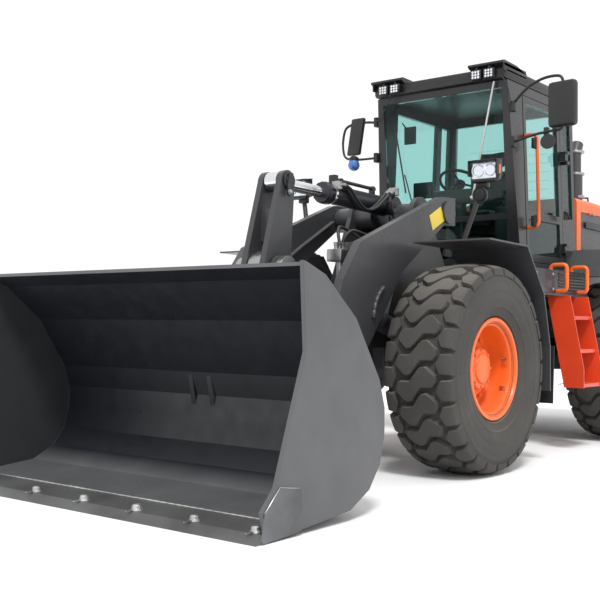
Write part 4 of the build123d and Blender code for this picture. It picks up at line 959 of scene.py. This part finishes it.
# Exhaust: three bright clamp bands round the stack that rises from the engine cover.
mesh = bmesh.new()
for z, radius in ((2.330, 0.082), (2.560, 0.079), (2.780, 0.079)):
    closed_lathe(
        mesh, (-2.169, 0.470, z), (0, 0, 1),
        [
            (0.060, 0), (radius, 0), (radius + 0.004, 0.004), (radius + 0.004, 0.022), (radius, 0.026),
            (0.060, 0.026),
        ],
        36,
    )
piece(mesh, "exhaust_bands", steel, "chassis")

# Engine cover: a dark band with slanting slats on each side, and a bent handle on top.
stripe = paint("cover band", (0.020, 0.022, 0.026), rough=0.35, peel=0.05)
mesh = bmesh.new()
for side in (1, -1):
    block(mesh, (-3.560, side * 0.6165, 2.020), (-2.060, side * 0.6190, 2.085), 0.0008)
    for index in range(9):
        x = -3.30 + index * 0.055
        plate(
            mesh,
            [
                (x, side * 0.6165, 2.110), (x + 0.030, side * 0.6165, 2.110),
                (x + 0.050, side * 0.6165, 2.200), (x + 0.020, side * 0.6165, 2.200),
            ],
            (0, side, 0), 0.003,
        )
piece(mesh, "hood_band", stripe, "chassis")
mesh = bmesh.new()
for y in (0.50, 0.40):
    round_bar(mesh, (-2.420 + (0.50 - y) * 0.4, y, 2.300), (-2.400, y, 2.360), 0.009, 14)
round_bar(mesh, (-2.400, 0.510, 2.358), (-2.380, 0.390, 2.358), 0.009, 14)
piece(mesh, "hood_handle", grey, "chassis")

# Box panels: plain dark sheet on the platform's side, held by four bolts each.
mesh = bmesh.new()
for side in (1, -1):
    block(mesh, (-0.531, side * 0.9504, 1.335), (-0.145, side * 0.9550, 1.515), 0.002)
piece(mesh, "box_panels", dark, "chassis")
mesh = bmesh.new()
for side in (1, -1):
    for x in (-0.50, -0.175):
        for z in (1.362, 1.488):
            hex_bolt(mesh, (x, side * 0.955, z), (0, side, 0), 0.019, 0.008)
piece(mesh, "box_panel_bolts", steel, "chassis")

# Louvres: pressed slats in the side sheet under the cab.
mesh = bmesh.new()
for side in (1, -1):
    for index in range(7):
        z = 1.330 + index * 0.026
        plate(
            mesh,
            [
                (-1.20, side * 0.9505, z), (-0.62, side * 0.9505, z), (-0.62, side * 0.9600, z + 0.012),
                (-1.20, side * 0.9600, z + 0.012),
            ],
            (0, 0, 1), 0.003,
        )
piece(mesh, "louvres", grey, "chassis")

# Ladder treads: folded plate with rows of punched, raised grips.
mesh = bmesh.new()
for side in (1, -1):
    for z in (0.562, 0.847, 1.127):
        for row in range(4):
            for column in range(9):
                place = (-0.958 + column * 0.0395, side * (1.10 - row * 0.05), z)
                closed_lathe(
                    mesh, place, (0, 0, 1),
                    [(0.005, -0.002), (0.012, -0.002), (0.009, 0.005), (0.006, 0.005)], 10,
                )
piece(mesh, "tread_grips", step_red, "chassis")

# Door hardware: two moulded blocks with pins at the front edge, and a handle on its plate.
mesh = bmesh.new()
for z in (1.95, 2.62):
    block(mesh, (-0.600, 0.735, z - 0.045), (-0.545, 0.765, z + 0.045), 0.006)
    round_bar(mesh, (-0.572, 0.765, z - 0.052), (-0.572, 0.765, z + 0.052), 0.011, 16)
block(mesh, (-1.310, 0.733, 2.02), (-1.235, 0.750, 2.10), 0.006)
round_bar(mesh, (-1.300, 0.764, 2.035), (-1.240, 0.764, 2.085), 0.009, 14)
for end in ((-1.300, 2.035), (-1.240, 2.085)):
    round_bar(mesh, (end[0], 0.745, end[1]), (end[0], 0.766, end[1]), 0.008, 12)
piece(mesh, "door_hardware", moulded, "cab_door")

# Rear window: thin heater wires in the glass.
mesh = bmesh.new()
for index in range(8):
    z = 2.20 + index * 0.085
    round_bar(mesh, (-1.6235, -0.42, z), (-1.6235, 0.42, z), 0.0012, 6)
piece(mesh, "heater_wires", worn, "chassis")

# Rear end: pressed slats on the grille door, and a red lamp in its case on each side.
mesh = bmesh.new()
for index in range(16):
    z = 1.400 + index * 0.042
    plate(
        mesh,
        [
            (-3.7070, -0.46, z), (-3.7070, 0.46, z), (-3.7180, 0.46, z + 0.020),
            (-3.7180, -0.46, z + 0.020),
        ],
        (-1, 0, 0.5), 0.003,
    )
piece(mesh, "grille_slats", dark, "rear_grille")
lamp_red = lens("red lens", (0.55, 0.012, 0.010), 0.3, 0.2)
rear_lamps = [
    ("rear_lamp_cases", moulded, (-3.800, 0.98, 1.295), (-3.735, 1.12, 1.420), 0.010),
    ("rear_lamp_lenses", lamp_red, (-3.806, 0.990, 1.307), (-3.797, 1.110, 1.408), 0.006),
]
for name, material, low, high, edge in rear_lamps:
    mesh = bmesh.new()
    for side in (1, -1):
        block(mesh, (low[0], side * low[1], low[2]), (high[0], side * high[1], high[2]), edge)
    piece(mesh, name, material, "chassis")

# Seat: three foam cushions in dark woven cloth, inflated by a cloth simulation, on a suspension
# base behind a rubber bellows, with an armrest on each side.
fabric, surface, node, link = shader("seat cloth")
place = node("ShaderNodeTexCoord")
weave = node("ShaderNodeTexWave", Scale=160.0, Distortion=1.5)
link(place.outputs["Object"], weave.inputs["Vector"])
bump = node("ShaderNodeBump", Strength=0.25, Distance=0.001)
link(weave.outputs["Fac"], bump.inputs["Height"])
link(bump.outputs["Normal"], surface.inputs["Normal"])
shade = node("ShaderNodeVectorMath", operation="SCALE")
shade.inputs[0].default_value = (0.022, 0.023, 0.027)
link(tone_map(node, link, 9.0, 0.75, 1.25), shade.inputs["Scale"])
link(shade.outputs["Vector"], surface.inputs["Base Color"])
surface.inputs["Roughness"].default_value = 0.9
surface.inputs["Sheen Weight"].default_value = 0.35


START_INSET, SWELL_LIMIT, PAD_EDGE = 0.008, 0.010, 0.030
VOXEL, QUICK_VOXEL = 0.006, 0.012
CLOTH_PRESSURE, CLOTH_FRAMES = 4.0, 20


def cushion(name, low, high, lean=0.0):
    """A closed pad that swells under cloth pressure, at most SWELL_LIMIT past its starting form."""
    mesh = bmesh.new()
    block(mesh, [a + START_INSET for a in low], [b - START_INSET for b in high], PAD_EDGE)
    for vert in mesh.verts:
        vert.co.x -= lean * (vert.co.z - low[2])
    made = piece(mesh, name, fabric, "chassis", 60)
    bpy.context.view_layer.objects.active = made
    remesh = made.modifiers.new("remesh", "REMESH")
    remesh.mode = "VOXEL"
    remesh.voxel_size = VOXEL
    bpy.ops.object.modifier_apply(modifier=remesh.name)
    start = [vert.co.copy() for vert in made.data.vertices]
    cloth = made.modifiers.new("cloth", "CLOTH")
    cloth.settings.use_pressure = True
    cloth.settings.uniform_pressure_force = CLOTH_PRESSURE
    cloth.settings.effector_weights.gravity = 0.0
    for frame_number in range(1, CLOTH_FRAMES + 1):
        bpy.context.scene.frame_set(frame_number)
    bpy.ops.object.modifier_apply(modifier=cloth.name)
    for vert, before in zip(made.data.vertices, start):
        moved = vert.co - before
        if moved.length > SWELL_LIMIT:
            vert.co = before + moved * (SWELL_LIMIT / moved.length)
    bpy.context.scene.frame_set(1)
    smooth = made.modifiers.new("smooth", "SUBSURF")
    smooth.levels = 1
    bpy.ops.object.modifier_apply(modifier=smooth.name)
    made.data.shade_smooth()
    return made


seat_pad = cushion("seat_cushion", (-1.250, -0.240, 1.990), (-0.780, 0.240, 2.110))
cushion("seat_back", (-1.290, -0.230, 2.090), (-1.200, 0.230, 2.540), 0.09)
cushion("seat_headrest", (-1.320, -0.140, 2.560), (-1.245, 0.140, 2.720), 0.05)
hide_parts("seat")
mesh = bmesh.new()
block(mesh, (-1.200, -0.200, 1.970), (-0.830, 0.200, 1.992), 0.006)
block(mesh, (-1.180, -0.160, 1.6010), (-0.860, 0.160, 1.640), 0.008)
folds = [(0.150 + 0.018 * (index % 2), 0.012 + index * 0.028) for index in range(12)]
closed_lathe(mesh, (-1.020, 0, 1.638), (0, 0, 1), [(0.0, 0.0), *folds, (0.0, 0.332)], 40)
for side in (1, -1):
    block(mesh, (-1.230, side * 0.250, 2.150), (-0.900, side * 0.300, 2.195), 0.015)
    round_bar(mesh, (-1.250, side * 0.235, 2.150), (-1.180, side * 0.275, 2.170), 0.014, 14)
piece(mesh, "seat_base", moulded, "chassis")

# Studio: a white floor and sky, a broad sun from the machine's front left, and the camera at the
# photograph's place, whose lens and shift were solved from the wheels, the hood and the bucket.
ground = bpy.data.meshes.new("floor")
ground.from_pydata([(-60, -60, 0), (60, -60, 0), (60, 60, 0), (-60, 60, 0)], [], [(0, 1, 2, 3)])
floor = bpy.data.objects.new("floor", ground)
bpy.context.scene.collection.objects.link(floor)
white, white_surface, *_ = shader("studio floor")
white_surface.inputs["Base Color"].default_value = (0.9, 0.9, 0.9, 1)
white_surface.inputs["Roughness"].default_value = 1.0
white_surface.inputs["Specular IOR Level"].default_value = 0.0
ground.materials.append(white)

world = bpy.data.worlds.new("studio")
world.use_nodes = True
world.node_tree.nodes["Background"].inputs["Color"].default_value = (1, 1, 1, 1)
world.node_tree.nodes["Background"].inputs["Strength"].default_value = 1.05
bpy.context.scene.world = world
sun = bpy.data.lights.new("sun", "SUN")
sun.energy = 2.2
sun.angle = math.radians(12)
sun_object = bpy.data.objects.new("sun", sun)
sun_object.rotation_euler = (math.radians(-22), math.radians(30), 0)
bpy.context.scene.collection.objects.link(sun_object)

CAMERA_PLACE = Vector((7.390, 4.353, 1.045))
YAW, PITCH, ROLL = math.radians(39.53), math.radians(1.40), math.radians(0.586)
LENS_PIXELS, PHOTO_SIDE, OPTIC_X = 987.8, 600, 265.6
lens = bpy.data.cameras.new("camera")
lens.sensor_width = 36
lens.lens = 36 * LENS_PIXELS / PHOTO_SIDE
lens.shift_x = 0.5 - OPTIC_X / PHOTO_SIDE
lens.clip_end = 200
camera = bpy.data.objects.new("camera", lens)
look = Vector((-math.cos(YAW) * math.cos(PITCH), -math.sin(YAW) * math.cos(PITCH), math.sin(PITCH)))
turn = look.to_track_quat("-Z", "Y").to_matrix().to_4x4()
camera.matrix_world = Matrix.Translation(CAMERA_PLACE) @ turn @ Matrix.Rotation(ROLL, 4, "Z")
bpy.context.scene.collection.objects.link(camera)
bpy.context.scene.camera = camera
bpy.context.scene.view_settings.view_transform = "Standard"
